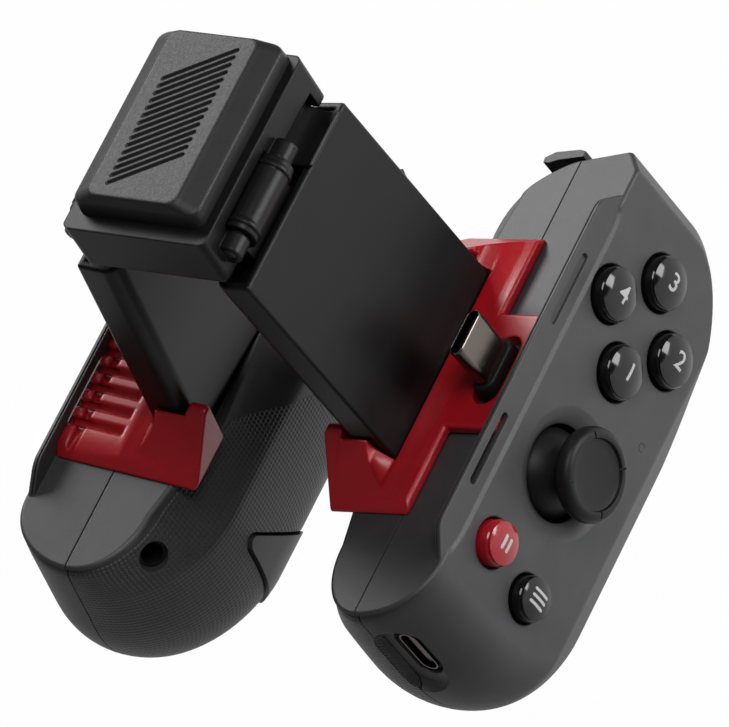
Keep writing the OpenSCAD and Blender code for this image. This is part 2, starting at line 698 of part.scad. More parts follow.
// Bumper along the upper end, trigger behind it and the rear key
bumper_steps = 10;
bumper_form = [[-1.4, -0.6], [-2, -2.2], [-1.9, -3.4], [-0.9, -3.6], [0.2, -1.8], [bumper_proud, 2.8],
    [bumper_proud - 0.3, 4.1], [-0.7, 4.1]];
module bumper() color(charcoal) {
    loft([for (i = [0:bumper_steps]) let (x = bumper_in + bumper_l * i / bumper_steps)
        [x, [for (p = bumper_form) [high_y(x) + p[0], p[1]]]]], true);
    along_x(bumper_stem[0], bumper_stem[1]) translate([grip_top - 8, -0.4]) square([7.4, 3.8]);
}
module bumper_room() along_x(bumper_stem[0] - run_gap, bumper_stem[1] + run_gap)
    translate([grip_top - 8 - bumper_travel - run_gap, -0.4 - run_gap]) square([far, 3.8 + 2 * run_gap]);
module at_trigger() translate([trigger_mid, trigger_pivot[0], trigger_pivot[1]]) children();
module trigger_room() along_x(trigger_mid - trigger_w / 2 - run_gap, trigger_mid + trigger_w / 2 + run_gap)
    polygon([[trigger_pocket_y, trigger_pocket_z], [far, trigger_pocket_z], [far, -far],
        [trigger_pocket_y, -far]]);
function bend(a, b, c) =
    [for (i = [0:8]) let (s = i / 8) (1 - s) * (1 - s) * a + 2 * s * (1 - s) * b + s * s * c];
module trigger() color(black) translate([0, trigger_pivot[0], trigger_pivot[1]]) difference() {
    along_x(trigger_mid - trigger_w / 2, trigger_mid + trigger_w / 2) {
        circle(trigger_hub_r);
        polygon(concat(bend([-1.9, -1], [-0.6, -7.4], [7.4, -7.6]),
            bend([8, -7.6], [13.4, -7.6], [17, -4.6]),
            bend([16.8, -4.1], [9.4, -4.4], [1.4, 1.6])));
    }
    translate([trigger_mid, 0, 0]) rod_x(trigger_pin_r + pin_gap, far);
}
module trigger_pin() color(nickel) at_trigger() rod_x(trigger_pin_r, trigger_w + 4.6);
module rear_key_shape(grow, foot) translate([0, 0, -far]) linear_extrude(far + foot)
    offset(delta = grow) polygon(rear_key_plan);
module rear_key() color(charcoal) intersection() {
    loft(rear_rings(rear_key_proud), true);
    rear_key_shape(0, rear_key_foot);
}

hub_frame();
hub_cover();
phone_pad();
hinge_pin(1);  // right_hinge_pin
hinge_pin(-1);  // left_hinge_pin
right() arm();  // right_arm
right() hinge_leaf();  // right_hinge_leaf
left() arm();  // left_arm
left() hinge_leaf();  // left_hinge_leaf
right() right_front_shell();
right() right_rear_shell();
right() right_cradle();
right() phone_plug_shell();
right() phone_plug_core();
right() charging_socket();
right() board();  // right_board
right() keypad(face_spots, [home_spot, menu_spot], [low_stick]);  // right_keypad
right() stick_base(low_stick);  // right_stick_base
right() status_light();
right() trigger_pin();  // right_trigger_pin
left() left_front_shell();
left() left_rear_shell();
left() left_cradle();
left() headphone_socket();
left() board();  // left_board
left() keypad([], [home_spot, menu_spot], [high_stick, dpad_spot]);  // left_keypad
left() stick_base(high_stick);  // left_stick_base
left() dpad_post();
left() trigger_pin();  // left_trigger_pin
right() face_button(0);  // button_south
right() face_button(1);  // button_east
right() face_button(2);  // button_north
right() face_button(3);  // button_west
right() small_button(home_spot, red);  // home_button
right() small_button(menu_spot, black);  // menu_button
left() small_button(home_spot, black);  // view_button
left() small_button(menu_spot, black);  // capture_button
left() dpad_pivot();
left() dpad();
right() stick_ring(low_stick);  // right_stick_ring
right() stick_post(low_stick);  // right_stick_post
right() stick_cap(low_stick);  // right_stick_cap
left() stick_ring(high_stick);  // left_stick_ring
left() stick_post(high_stick);  // left_stick_post
left() stick_cap(high_stick);  // left_stick_cap
right() bumper();  // right_bumper
left() bumper();  // left_bumper
right() trigger();  // right_trigger
left() trigger();  // left_trigger
right() rear_key();  // right_rear_key
left() rear_key();  // left_rear_key
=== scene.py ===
import json
import math

import bmesh
import bpy
from mathutils import Matrix, Vector


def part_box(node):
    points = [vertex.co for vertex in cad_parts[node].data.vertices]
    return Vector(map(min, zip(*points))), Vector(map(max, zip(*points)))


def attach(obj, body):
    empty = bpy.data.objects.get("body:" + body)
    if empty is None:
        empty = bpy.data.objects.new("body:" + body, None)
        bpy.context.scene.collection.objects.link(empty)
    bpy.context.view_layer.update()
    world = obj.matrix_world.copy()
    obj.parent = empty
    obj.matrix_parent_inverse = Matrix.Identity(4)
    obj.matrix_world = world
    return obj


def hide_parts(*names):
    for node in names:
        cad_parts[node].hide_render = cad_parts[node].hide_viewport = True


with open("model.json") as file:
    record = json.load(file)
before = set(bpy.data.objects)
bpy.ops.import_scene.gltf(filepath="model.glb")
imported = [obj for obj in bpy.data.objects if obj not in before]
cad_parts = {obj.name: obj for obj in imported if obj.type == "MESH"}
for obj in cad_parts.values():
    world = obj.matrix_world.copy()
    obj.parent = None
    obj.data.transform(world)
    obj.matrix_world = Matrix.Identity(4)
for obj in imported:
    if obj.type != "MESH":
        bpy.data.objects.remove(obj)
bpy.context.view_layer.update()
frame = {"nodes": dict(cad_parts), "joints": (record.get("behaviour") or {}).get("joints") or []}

# Frame of the arms, in millimetres: u outwards from the hinge, y along it, w to the screen side
joints = {j["name"]: j for j in frame["joints"]}
hub_low, hub_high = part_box("hub_frame")
MM, TO_MM = 0.001, 1000
HINGE = [v * TO_MM for v in joints["right_fold"]["pos_m"]]
FOLD = joints["right_slide"]["axis"]
COS, SIN = FOLD[0], -FOLD[2]
MID_Y = (hub_low.y + hub_high.y) / 2 * TO_MM
HUB_FRONT = hub_high.z * TO_MM


def arm_frame(side):
    return Matrix(((side * COS, 0, side * SIN, side * HINGE[0]), (0, 1, 0, MID_Y),
                   (-SIN, 0, COS, HINGE[2]), (0, 0, 0, 1)))


HUB_FRAME = Matrix.Translation((0, MID_Y, HUB_FRONT))
RIGHT, LEFT = arm_frame(1), arm_frame(-1)
PLACES = {"right": RIGHT, "left": LEFT}
TO_METRES = Matrix.Scale(MM, 4)

# Grips, as in the part's source: inner side, width, two ends, face, parting plane and back
GI, GRIP_W, TOP, BOTTOM, FRONT, PART, BACK = 50.6, 36.8, 43.4, 44.2, 17.0, 5.0, 14.0
OUT = GI + GRIP_W
DEPTH = PART + BACK

# Front of a grip: bevels and corners
LEAN, BEVEL_DROP, BEVEL_IN, EDGE_DROP, EDGE_IN, FRONT_LOW_R = 1.8, 3.0, 3.5, 3.7, 6.0, 10.2
LOW_CORNER, HIGH_CORNER = (19.4, 14.6), (18.4, 32.4)
EDGE_R, EDGE_COUNT = 0.6, 4
PLATE_BACK = FRONT - 2.0

# Back of a grip: its crown, and the roundings and depths that it blends to at the inner plate
BACK_MID, INNER_RISE, OUTER_POWER = GI + 22.8, 4.0, 2.2
LOW_BACK_R, PLATE_LOW_R, PLATE_D, PLATE_MID_D = 21.0, 12.0, 9.05, 13.0
HIGH_BACK_R, HIGH_INNER_R, HIGH_INNER_D = 19.6, 6.0, 8.6
INNER_BLEND, BACK_PAST, SLANT_LIMIT = 8.2, 1.3, 0.8
ROUND_SHARE, MIDDLE_SHARE, HIGH_SHARPER = 0.49, 0.28, 0.5

# Arm, buttons, sticks and cross pad
ARM_W, ARM_T, ARM_FRONT, ARM_END, GAP = 35.2, 7.0, 0.9, 78.4, 0.3
CLUSTER_X, CLUSTER_Y, CLUSTER_R = GI + 15.2, 21.0, 8.5
FACE_R, SMALL_R, PROUD = 4.3, 3.6, 2.7
LOW_STICK, HIGH_STICK = (CLUSTER_X, -6.6), (CLUSTER_X, CLUSTER_Y)
DPAD_SPOT, DPAD_SPAN = (GI + 14.4, -8.0), 18.4
HOME_SPOT, MENU_SPOT, LIGHT_SPOT = (GI + 7.9, -24.8), (GI + 19.2, -27.0), (GI + 27.1, 7.0)

# Lip of the front shell, cradle, plug and charging port
WALL_X = GI - 2.0
LIP_OUT, LIP_T = 3.6, 1.2
CRADLE_HALF = 26.2
PLUG_UP, PLUG_W, PLUG_T, PLUG_L = 11.2, 8.34, 2.56, 8.0
PLUG_ROOT = WALL_X - 1.7
PORT_X, PORT_Z, PORT_W, PORT_T = GI + 11.6, 9.2, 8.94, 3.26

# Rear key, and the rooms of trigger, bumper and headphone socket
KEY_PLAN = [(GI + 14.7, -24), (GI + 15.7, -25), (GI + 32.5, -25.6), (GI + 32.5, -10.8), (GI + 14.9, -23)]
KEY_PLAN_R, KEY_RAISED, KEY_R, KEY_TOP, KEY_ROOM_TOP, KEY_EXTRA_GAP = 1.6, 0.5, 0.5, -7.6, -6.3, 0.15
TRIGGER_MID, TRIGGER_W = GI + 16.5, 16.0
TRIGGER_PIVOT, TRIGGER_ROOM = (TOP - 17.5, -6.5), 3.8
BUMPER_X, BUMPER_Y, BUMPER_Z = (GI + 3.1, GI + 19.7), TOP - 9.1, (-0.7, 3.7)
JACK_SPOT = Vector((GI + 4.2, -36.3, -5.8))
JACK_TURN = Matrix.Rotation(math.radians(-35), 4, "Z") @ Matrix.Rotation(math.radians(135), 4, "X")

# How far cutters reach past a face, an end and the back
CLEAR, FAR, FAR_BACK = 3, 20, -40


# Grip sections
def fall(share):
    return 1 - math.sqrt(max(0.0, 1 - share * share))


def near_inner(x, over):
    return max(0.0, 1 - (x - GI) / over)


def past(x, over):
    return min(1.0, max(0.0, (x - OUT + over) / over))


# Rise of the lower end behind the inner plate: plate edge, groove, then out to the full grip
FOOT = [(0, 0.15), (0.5, 0.15), (0.65, 0.42), (0.9, 0.6), (1.15, 0.6), (1.5, 0.4), (1.9, 0.2), (2.5, 0.05),
        (4, 0)]


def foot_rise(x):
    d = max(0.0, x - GI)
    for (x0, r0), (x1, r1) in zip(FOOT, FOOT[1:]):
        if d <= x1:
            return r0 + (r1 - r0) * (d - x0) / (x1 - x0)
    return 0.0


def low_y(x):
    return -BOTTOM + LOW_CORNER[1] * fall(past(x, LOW_CORNER[0])) + foot_rise(x)


def high_y(x):
    return TOP - HIGH_CORNER[1] * fall(past(x, HIGH_CORNER[0]))


def slant(x):
    s = min(past(x, HIGH_CORNER[0]), SLANT_LIMIT)
    return math.sqrt(1 + (HIGH_CORNER[1] / HIGH_CORNER[0] * s) ** 2 / (1 - s * s))


def back_d(x):
    if x < BACK_MID:
        return DEPTH - INNER_RISE * ((BACK_MID - x) / (BACK_MID - GI)) ** 2
    share = (x - BACK_MID) / (OUT - BACK_MID + BACK_PAST)
    return DEPTH * (1 - share ** OUTER_POWER) ** (1 / OUTER_POWER)


def mix(a, b, t):
    return [p + (q - p) * t for p, q in zip(a, b)]


def span(a, b, count):
    """Points from a towards b, without b."""
    return [mix(a, b, i / count) for i in range(count)]


def bend(a, corner, b, count):
    """Points of a rounded corner."""
    pts = []
    for i in range(count + 1):
        t = i / count
        pts.append(mix(mix(a, corner, t), mix(corner, b, t), t))
    return pts


def toward(a, b, distance):
    return mix(a, b, distance / math.dist(a, b))


# Points along each section
REAR_ARC, REAR_LOW, REAR_MID, FRONT_MID, FRONT_ARC = 22, 5, 10, 14, 18


def rear_line(x, inset=0.0):
    """Section of a rear shell, from its lower parting edge round the back to the upper one."""
    n = near_inner(x, INNER_BLEND)
    b, t, d = low_y(x) + inset, high_y(x) - LEAN - inset, back_d(x) - inset
    low_d = d + (PLATE_D - inset - d) * n
    mid_d = d + (PLATE_MID_D - inset - d) * n
    high_d = d + (HIGH_INNER_D - inset - d) * n
    low_r = min(LOW_BACK_R + (PLATE_LOW_R - LOW_BACK_R) * n, ROUND_SHARE * (t - b))
    high_r = min(HIGH_BACK_R + (HIGH_INNER_R - HIGH_BACK_R) * n, ROUND_SHARE * (t - b))
    high_k = 1 + HIGH_SHARPER * n
    low = []
    for i in range(REAR_ARC + 1):
        a = math.pi / 2 * i / REAR_ARC
        low.append((b + low_r - low_r * math.cos(a), PART - low_d * math.sin(a)))
    high = []
    for i in range(REAR_ARC + 1):
        a = math.pi / 2 * (1 - i / REAR_ARC)
        high.append((t - high_r + high_r * abs(math.cos(a)) ** high_k,
                     PART - high_d * math.sin(a) ** high_k))
    middle = (low[-1][0] + MIDDLE_SHARE * (high[0][0] - low[-1][0]), PART - mid_d)
    return low + span(low[-1], middle, REAR_LOW)[1:] + span(middle, high[0], REAR_MID) + high


def front_line(x, inset=0.0):
    """Section of a front shell, from its upper parting edge over the face to the lower one."""
    b, t, f = low_y(x) + inset, high_y(x) - inset, FRONT - EDGE_DROP * past(x, EDGE_IN) - inset
    foot, top = (t - LEAN, PART), (t, f - BEVEL_DROP)
    face, low = (t - BEVEL_IN * slant(x), f), (b + FRONT_LOW_R, f)
    line = span(foot, toward(top, foot, EDGE_R), EDGE_COUNT)
    line += bend(toward(top, foot, EDGE_R), top, toward(top, face, EDGE_R), EDGE_COUNT)
    line += bend(toward(face, top, EDGE_R), face, toward(face, low, EDGE_R), EDGE_COUNT)
    line += span(line[-1], low, FRONT_MID)[1:]
    for i in range(FRONT_ARC + 1):
        a = math.pi / 2 * (1 - i / FRONT_ARC)
        line.append((b + FRONT_LOW_R - FRONT_LOW_R * math.cos(a), PART + (f - PART) * math.sin(a)))
    return line


# Half of the gap between the shells, and the sections across a grip
PARTING, STATION_COUNT = 0.11, 44

# Rounded inner and outer edges: place and inset
INNER_STEPS = [(0, 0.55), (0.08, 0.32), (0.25, 0.11), (0.5, 0)]
INNER_STEPS += [(x, 0) for x in (0.65, 0.8, 0.9, 1.0, 1.15, 1.3, 1.5, 1.7, 1.9, 2.2, 2.5, 3.2, 4, 5, 6.5)]
OUTER_STEPS = [(-0.6, 0), (-0.3, 0.08), (-0.09, 0.3), (0, 0.6)]


def grip_rings(line_at, parting, raised=0.0):
    """Sections from the inner side of a grip to the outer one."""
    stations = [(GI + x, inset) for x, inset in INNER_STEPS]
    first, last = stations[-1][0], OUT + OUTER_STEPS[0][0]
    for i in range(1, STATION_COUNT):
        stations.append((first + (last - first) * math.sin(math.pi / 2 * i / STATION_COUNT), 0))
    stations += [(OUT + x, inset) for x, inset in OUTER_STEPS]
    rings = []
    for x, inset in stations:
        line = line_at(x, inset - raised)
        line[0], line[-1] = (line[0][0], PART + parting), (line[-1][0], PART + parting)
        rings.append([(x, p[0], p[1]) for p in line])
    return rings


# Mesh helpers, working in millimetres; WELD_M and SLIVER_M are in metres
WELD, SLIVER, CAD_WELD, KEY_WELD = 0.001, 0.0005, 0.002, 0.004
WELD_M, SLIVER_M = 2e-6, 1e-6
CAD_FLAT, KEY_FLAT, SMOOTH = math.radians(0.6), math.radians(2), math.radians(32)
FLAT_WEIGHT = 60


def raw_object(name, bm):
    mesh = bpy.data.meshes.new(name)
    bm.to_mesh(mesh)
    bm.free()
    obj = bpy.data.objects.new(name, mesh)
    bpy.context.scene.collection.objects.link(obj)
    return obj


def loft(name, rings):
    """Closed solid through rings of equal length, with lengths along both ways as its map."""
    bm = bmesh.new()
    grid = [[bm.verts.new(p) for p in ring] for ring in rings]
    layer = bm.loops.layers.uv.new("span")
    n = len(rings[0])
    middle = n // 2
    across = [0.0]
    for a, b in zip(rings, rings[1:]):
        across.append(across[-1] + math.dist(a[middle], b[middle]))
    along = []
    for ring in rings:
        lengths = [0.0]
        for i in range(n):
            lengths.append(lengths[-1] + math.dist(ring[i], ring[(i + 1) % n]))
        along.append([v - lengths[middle] for v in lengths])
    for k in range(len(rings) - 1):
        for i in range(n):
            j = (i + 1) % n
            face = bm.faces.new((grid[k][i], grid[k][j], grid[k + 1][j], grid[k + 1][i]))
            marks = ((k, i), (k, i + 1), (k + 1, i + 1), (k + 1, i))
            for loop, (r, c) in zip(face.loops, marks):
                loop[layer].uv = (across[r], along[r][c])
    bm.faces.new(list(reversed(grid[0])))
    bm.faces.new(grid[-1])
    bmesh.ops.recalc_face_normals(bm, faces=bm.faces)
    return raw_object(name, bm)


def lathe(name, profile, spot=(0, 0), count=64):
    """Closed solid of revolution about w; the profile runs from axis to axis."""
    bm = bmesh.new()
    rows = []
    for r, z in profile:
        if r < 1e-6:
            rows.append([bm.verts.new((spot[0], spot[1], z))])
            continue
        row = []
        for i in range(count):
            a = 2 * math.pi * i / count
            row.append(bm.verts.new((spot[0] + r * math.cos(a), spot[1] + r * math.sin(a), z)))
        rows.append(row)
    for a, b in zip(rows, rows[1:]):
        for i in range(count):
            j = (i + 1) % count
            if len(a) == 1:
                bm.faces.new((a[0], b[i], b[j]))
            elif len(b) == 1:
                bm.faces.new((a[i], b[0], a[j]))
            else:
                bm.faces.new((a[i], b[i], b[j], a[j]))
    bmesh.ops.recalc_face_normals(bm, faces=bm.faces)
    return raw_object(name, bm)


def stack(name, levels, axis="w"):
    """Solid through flat outlines at rising heights along an axis."""
    rings = []
    for height, outline in levels:
        if axis == "w":
            rings.append([(p[0], p[1], height) for p in outline])
        elif axis == "y":
            rings.append([(p[0], height, p[1]) for p in outline])
        else:
            rings.append([(height, p[0], p[1]) for p in outline])
    return loft(name, rings)


def round_rect(w, h, r, at=(0, 0), count=7):
    pts = []
    for q, (sx, sy) in enumerate(((1, 1), (-1, 1), (-1, -1), (1, -1))):
        for i in range(count + 1):
            a = math.pi / 2 * (q + i / count)
            pts.append((at[0] + sx * (w / 2 - r) + r * math.cos(a),
                        at[1] + sy * (h / 2 - r) + r * math.sin(a)))
    return pts


def stadium(w, h, at=(0, 0), count=16):
    r, dx, dy = min(w, h) / 2, max(0, w - h) / 2, max(0, h - w) / 2
    start = -math.pi / 2 if w >= h else 0
    pts = []
    for sign in (1, -1):
        for i in range(count + 1):
            a = start + math.pi * i / count + (0 if sign > 0 else math.pi)
            pts.append((at[0] + sign * dx + r * math.cos(a), at[1] + sign * dy + r * math.sin(a)))
    return pts


def rounded(points, radius, count=5):
    """Outline with every corner rounded."""
    pts = []
    n = len(points)
    for i, p in enumerate(points):
        a, b = points[i - 1], points[(i + 1) % n]
        r = min(radius, math.dist(a, p) * 0.45, math.dist(b, p) * 0.45)
        pts += bend(toward(p, a, r), p, toward(p, b, r), count)
    return pts


def grown(outline, amount):
    """Outline moved outwards along its normals."""
    area = sum(a[0] * b[1] - b[0] * a[1] for a, b in zip(outline, outline[1:] + outline[:1]))
    turn = 1 if area > 0 else -1
    out = []
    for i, p in enumerate(outline):
        a, b = outline[i - 1], outline[(i + 1) % len(outline)]
        nx, ny = (b[1] - a[1]) * turn, (a[0] - b[0]) * turn
        length = math.hypot(nx, ny) or 1.0
        out.append((p[0] + nx / length * amount, p[1] + ny / length * amount))
    return out


def joined(objs):
    """One object holding several separate solids."""
    bm = bmesh.new()
    for o in objs:
        bm.from_mesh(o.data)
        bpy.data.objects.remove(o)
    return raw_object("joined", bm)


def combine(obj, tools, operation="DIFFERENCE"):
    """Boolean of an object with a list of tools, which are used up."""
    tool = joined(tools) if len(tools) > 1 else tools[0]
    modifier = obj.modifiers.new("combine", "BOOLEAN")
    modifier.operation = operation
    modifier.object = tool
    modifier.solver = "EXACT"
    depsgraph = bpy.context.evaluated_depsgraph_get()
    mesh = bpy.data.meshes.new_from_object(obj.evaluated_get(depsgraph))
    obj.modifiers.clear()
    bm = bmesh.new()
    bm.from_mesh(mesh)
    bmesh.ops.remove_doubles(bm, verts=bm.verts, dist=WELD)
    bmesh.ops.dissolve_degenerate(bm, edges=bm.edges, dist=SLIVER)
    bm.to_mesh(mesh)
    bm.free()
    obj.data = mesh
    bpy.data.objects.remove(tool)
    return obj


def settle(obj, name, place, body, material, nodes=()):
    """Puts a finished solid in its place, on its body, with its finish."""
    obj.name = name
    mesh = obj.data
    mesh.name = name
    mesh.transform(TO_METRES @ place)
    if place.determinant() < 0:
        mesh.flip_normals()
    bm = bmesh.new()
    bm.from_mesh(mesh)
    bmesh.ops.remove_doubles(bm, verts=bm.verts, dist=WELD_M)
    bmesh.ops.dissolve_degenerate(bm, edges=bm.edges, dist=SLIVER_M)
    for face in bm.faces:
        face.smooth = True
    bm.to_mesh(mesh)
    bm.free()
    mesh.materials.clear()
    mesh.materials.append(material)
    mesh.polygons.foreach_set("material_index", [0] * len(mesh.polygons))
    mesh.set_sharp_from_angle(angle=SMOOTH)
    weighted = obj.modifiers.new("flat faces", "WEIGHTED_NORMAL")
    weighted.keep_sharp = True
    weighted.weight = FLAT_WEIGHT
    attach(obj, body)
    if nodes:
        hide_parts(*nodes)
    return obj


def round_edges(bm, radius, angle, shortest=0.0):
    """Rounds the edges over an angle; a shortest length leaves the finer edges as they are."""
    edges = [e for e in bm.edges if len(e.link_faces) == 2 and e.calc_face_angle(0) > math.radians(angle)]
    edges = [e for e in edges if e.calc_length() > shortest]
    bmesh.ops.bevel(bm, geom=edges, offset=radius, offset_type="OFFSET", segments=3, profile=0.5,
                    affect="EDGES", clamp_overlap=not shortest)


def dressed(node, body, material, radius, shortest=0.0, angle=30):
    """Copy of a solid with its edges rounded."""
    bm = bmesh.new()
    bm.from_mesh(frame["nodes"][node].data)
    bmesh.ops.scale(bm, vec=(TO_MM, TO_MM, TO_MM), verts=bm.verts)
    bmesh.ops.remove_doubles(bm, verts=bm.verts, dist=CAD_WELD)
    bmesh.ops.dissolve_limit(bm, angle_limit=CAD_FLAT, verts=bm.verts, edges=bm.edges)
    round_edges(bm, radius, angle, shortest)
    obj = raw_object(node + "_form", bm)
    return settle(obj, node + "_form", Matrix.Identity(4), body, material, (node,))


# Materials
NOISE_LOW, NOISE_HIGH = 0.3, 0.7
TONE_SCALE, COAT_ROUGH = 160, 0.08


def nodes_of(name):
    material = bpy.data.materials.new(name)
    material.use_nodes = True
    tree = material.node_tree
    return material, tree, tree.nodes["Principled BSDF"]


def add(tree, kind, **values):
    node = tree.nodes.new(kind)
    for key, value in values.items():
        if key in node.inputs:
            node.inputs[key].default_value = value
        else:
            setattr(node, key, value)
    return node


def noise(tree, coords, scale, detail=2.0, rough=0.5):
    node = add(tree, "ShaderNodeTexNoise", Scale=scale, Detail=detail, Roughness=rough)
    tree.links.new(coords, node.inputs["Vector"])
    return node.outputs["Fac"]


def spread(tree, value, low, high):
    node = add(tree, "ShaderNodeMapRange")
    node.inputs["From Min"].default_value = NOISE_LOW
    node.inputs["From Max"].default_value = NOISE_HIGH
    node.inputs["To Min"].default_value = low
    node.inputs["To Max"].default_value = high
    tree.links.new(value, node.inputs["Value"])
    return node.outputs["Result"]


def finish(name, colour, rough, grain=4200, depth=0.03, vary=0.12, rough_vary=0.05, coat=0.0, metallic=0.0,
           edge=0.0, specular=0.5, extra=None):
    """Moulded or metal surface: fine grain, slow changes of tone, and rounded edges in the shading."""
    material, tree, shader = nodes_of(name)
    coords = add(tree, "ShaderNodeTexCoord").outputs["Object"]
    shader.inputs["Metallic"].default_value = metallic
    shader.inputs["Specular IOR Level"].default_value = specular
    shader.inputs["Coat Weight"].default_value = coat
    shader.inputs["Coat Roughness"].default_value = COAT_ROUGH
    tone = add(tree, "ShaderNodeMix", data_type="RGBA")
    tree.links.new(spread(tree, noise(tree, coords, TONE_SCALE, 3.0), 0, 1), tone.inputs["Factor"])
    tone.inputs["A"].default_value = [c * (1 - vary) for c in colour] + [1]
    tone.inputs["B"].default_value = [c * (1 + vary) for c in colour] + [1]
    tree.links.new(tone.outputs["Result"], shader.inputs["Base Color"])
    speckle = noise(tree, coords, grain, 2.0, 0.6)
    roughness = spread(tree, speckle, rough - rough_vary, rough + rough_vary)
    tree.links.new(roughness, shader.inputs["Roughness"])
    bump = add(tree, "ShaderNodeBump", Strength=1.0, Distance=depth * MM)
    tree.links.new(speckle, bump.inputs["Height"])
    if edge:
        soft = add(tree, "ShaderNodeBevel", samples=6, Radius=edge * MM)
        tree.links.new(soft.outputs["Normal"], bump.inputs["Normal"])
    tree.links.new(bump.outputs["Normal"], shader.inputs["Normal"])
    if extra:
        extra(tree, shader, coords, bump, tone)
    return material


def math_node(tree, operation, a, b=None, clamp=False):
    node = add(tree, "ShaderNodeMath", operation=operation, use_clamp=clamp)
    for index, value in ((0, a), (1, b)):
        if value is None:
            continue
        if isinstance(value, (int, float)):
            node.inputs[index].default_value = value
        else:
            tree.links.new(value, node.inputs[index])
    return node.outputs[0]


# Knurl: its upper edge, its start behind the inner plate, its dots, and the painted shade between them
KNURL_LINE = (51.2, -12.8), (60.6, -0.7)
KNURL_START, KNURL_FADE = GI + 1.3, 4
KNURL_PITCH, KNURL_DEPTH, KNURL_PAINTED_SHADE, KNURL_PAINTED_SHADE_GREY = 0.75, 0.13, 0.25, 0.4
DOT_RAISE, DOT_GAIN = 0.6, 0.7


def knurled(tree, shader, coords, bump, tone):
    """Grid of small dots on the lower part of the back, ending at a slanting line, with painted shade
    between the dots.
    """
    parts = add(tree, "ShaderNodeSeparateXYZ")
    tree.links.new(coords, parts.inputs[0])
    x = math_node(tree, "ABSOLUTE", parts.outputs["X"])
    y, z = parts.outputs["Y"], parts.outputs["Z"]
    u = math_node(tree, "ADD", math_node(tree, "MULTIPLY", x, TO_MM * COS),
                  math_node(tree, "MULTIPLY", z, -TO_MM * SIN))
    u = math_node(tree, "ADD", u, HINGE[2] * SIN - HINGE[0] * COS)
    # distance below the slanting line through two points of u and y
    (u0, y0), (u1, y1) = KNURL_LINE
    slope = (y1 - y0) / (u1 - u0)
    line = math_node(tree, "ADD", math_node(tree, "MULTIPLY", u, slope), y0 - u0 * slope + MID_Y)
    below = math_node(tree, "SUBTRACT", line, math_node(tree, "MULTIPLY", y, TO_MM))
    zone = math_node(tree, "MULTIPLY", below, KNURL_FADE, True)
    inner = math_node(tree, "MULTIPLY", math_node(tree, "SUBTRACT", u, KNURL_START), KNURL_FADE, True)
    zone = math_node(tree, "MULTIPLY", zone, inner)
    uv = add(tree, "ShaderNodeUVMap", uv_map="span")
    flat = add(tree, "ShaderNodeSeparateXYZ")
    tree.links.new(uv.outputs["UV"], flat.inputs[0])
    waves = []
    for axis in ("X", "Y"):
        turn = math_node(tree, "MULTIPLY", flat.outputs[axis], 2 * math.pi / KNURL_PITCH)
        waves.append(math_node(tree, "COSINE", turn))
    dots = math_node(tree, "ADD", waves[0], waves[1])
    dots = math_node(tree, "MULTIPLY", math_node(tree, "ADD", dots, DOT_RAISE), DOT_GAIN, True)
    dots = math_node(tree, "MULTIPLY", dots, zone)
    relief = add(tree, "ShaderNodeBump", Strength=1.0, Distance=KNURL_DEPTH * MM)
    tree.links.new(dots, relief.inputs["Height"])
    tree.links.new(bump.outputs["Normal"], relief.inputs["Normal"])
    tree.links.new(relief.outputs["Normal"], shader.inputs["Normal"])
    # painted shade: the colour is darkened in the hollows between the dots and left as it is on their tops
    dark = add(tree, "ShaderNodeMix", data_type="RGBA", blend_type="MULTIPLY")
    share = math_node(tree, "MULTIPLY", math_node(tree, "SUBTRACT", zone, dots), KNURL_PAINTED_SHADE)
    tree.links.new(share, dark.inputs["Factor"])
    tree.links.new(tone.outputs["Result"], dark.inputs["A"])
    dark.inputs["B"].default_value = (KNURL_PAINTED_SHADE_GREY, KNURL_PAINTED_SHADE_GREY, KNURL_PAINTED_SHADE_GREY, 1)
    tree.links.new(dark.outputs["Result"], shader.inputs["Base Color"])


GREY = finish("grey shell", (0.05, 0.05, 0.053), 0.48, grain=5200, depth=0.02, edge=0.2, specular=0.58)
GRIP = finish("grip shell", (0.042, 0.042, 0.045), 0.46, grain=5200, depth=0.02, edge=0.2, specular=0.62,
              extra=knurled)
KEY = finish("rear key", (0.042, 0.042, 0.045), 0.42, grain=5200, depth=0.015, specular=0.45)
BLACK = finish("black plastic", (0.008, 0.008, 0.0085), 0.36, grain=5200, depth=0.012, edge=0.5,
               specular=0.26)
SATIN = finish("satin black", (0.014, 0.014, 0.015), 0.38, grain=5200, depth=0.015, edge=0.12, specular=0.4)
RUBBER = finish("soft rubber", (0.016, 0.016, 0.017), 0.46, grain=3200, depth=0.02, edge=0.3, specular=0.45)
STICK = finish("stick rubber", (0.01, 0.01, 0.011), 0.44, grain=5200, depth=0.012, specular=0.28)
RED = finish("red plastic", (0.46, 0.004, 0.012), 0.34, grain=1500, depth=0.004, vary=0.04, edge=0.5,
             specular=0.7)
RED_GLOSS = finish("red gloss", (0.42, 0.004, 0.014), 0.12, grain=900, depth=0.002, vary=0.03,
                   rough_vary=0.02, coat=0.3)
GLOSS = finish("black gloss", (0.004, 0.004, 0.0045), 0.1, grain=900, depth=0.002, vary=0.05,
               rough_vary=0.02, coat=0.2, specular=0.4)
NICKEL = finish("nickel", (0.16, 0.14, 0.125), 0.22, grain=2600, depth=0.006, vary=0.05, metallic=1.0,
                edge=0.06)
STEEL = finish("steel", (0.4, 0.4, 0.4), 0.3, grain=3000, depth=0.006, vary=0.05, metallic=1.0, edge=0.06)
GOLD = finish("contacts", (0.6, 0.48, 0.28), 0.3, grain=2600, depth=0.004, vary=0.05, metallic=1.0)
BOARD = finish("board", (0.01, 0.08, 0.03), 0.4, grain=1800, depth=0.02, edge=0.1)
LIGHT = finish("light pipe", (0.02, 0.02, 0.02), 0.15, grain=2600, depth=0.004, coat=0.5)
WHITE = finish("white print", (0.6, 0.6, 0.6), 0.4, grain=2600, depth=0.004, vary=0.03)
DARK = finish("dark plastic", (0.008, 0.008, 0.009), 0.5, grain=4200, depth=0.02, edge=0.1, specular=0.25)

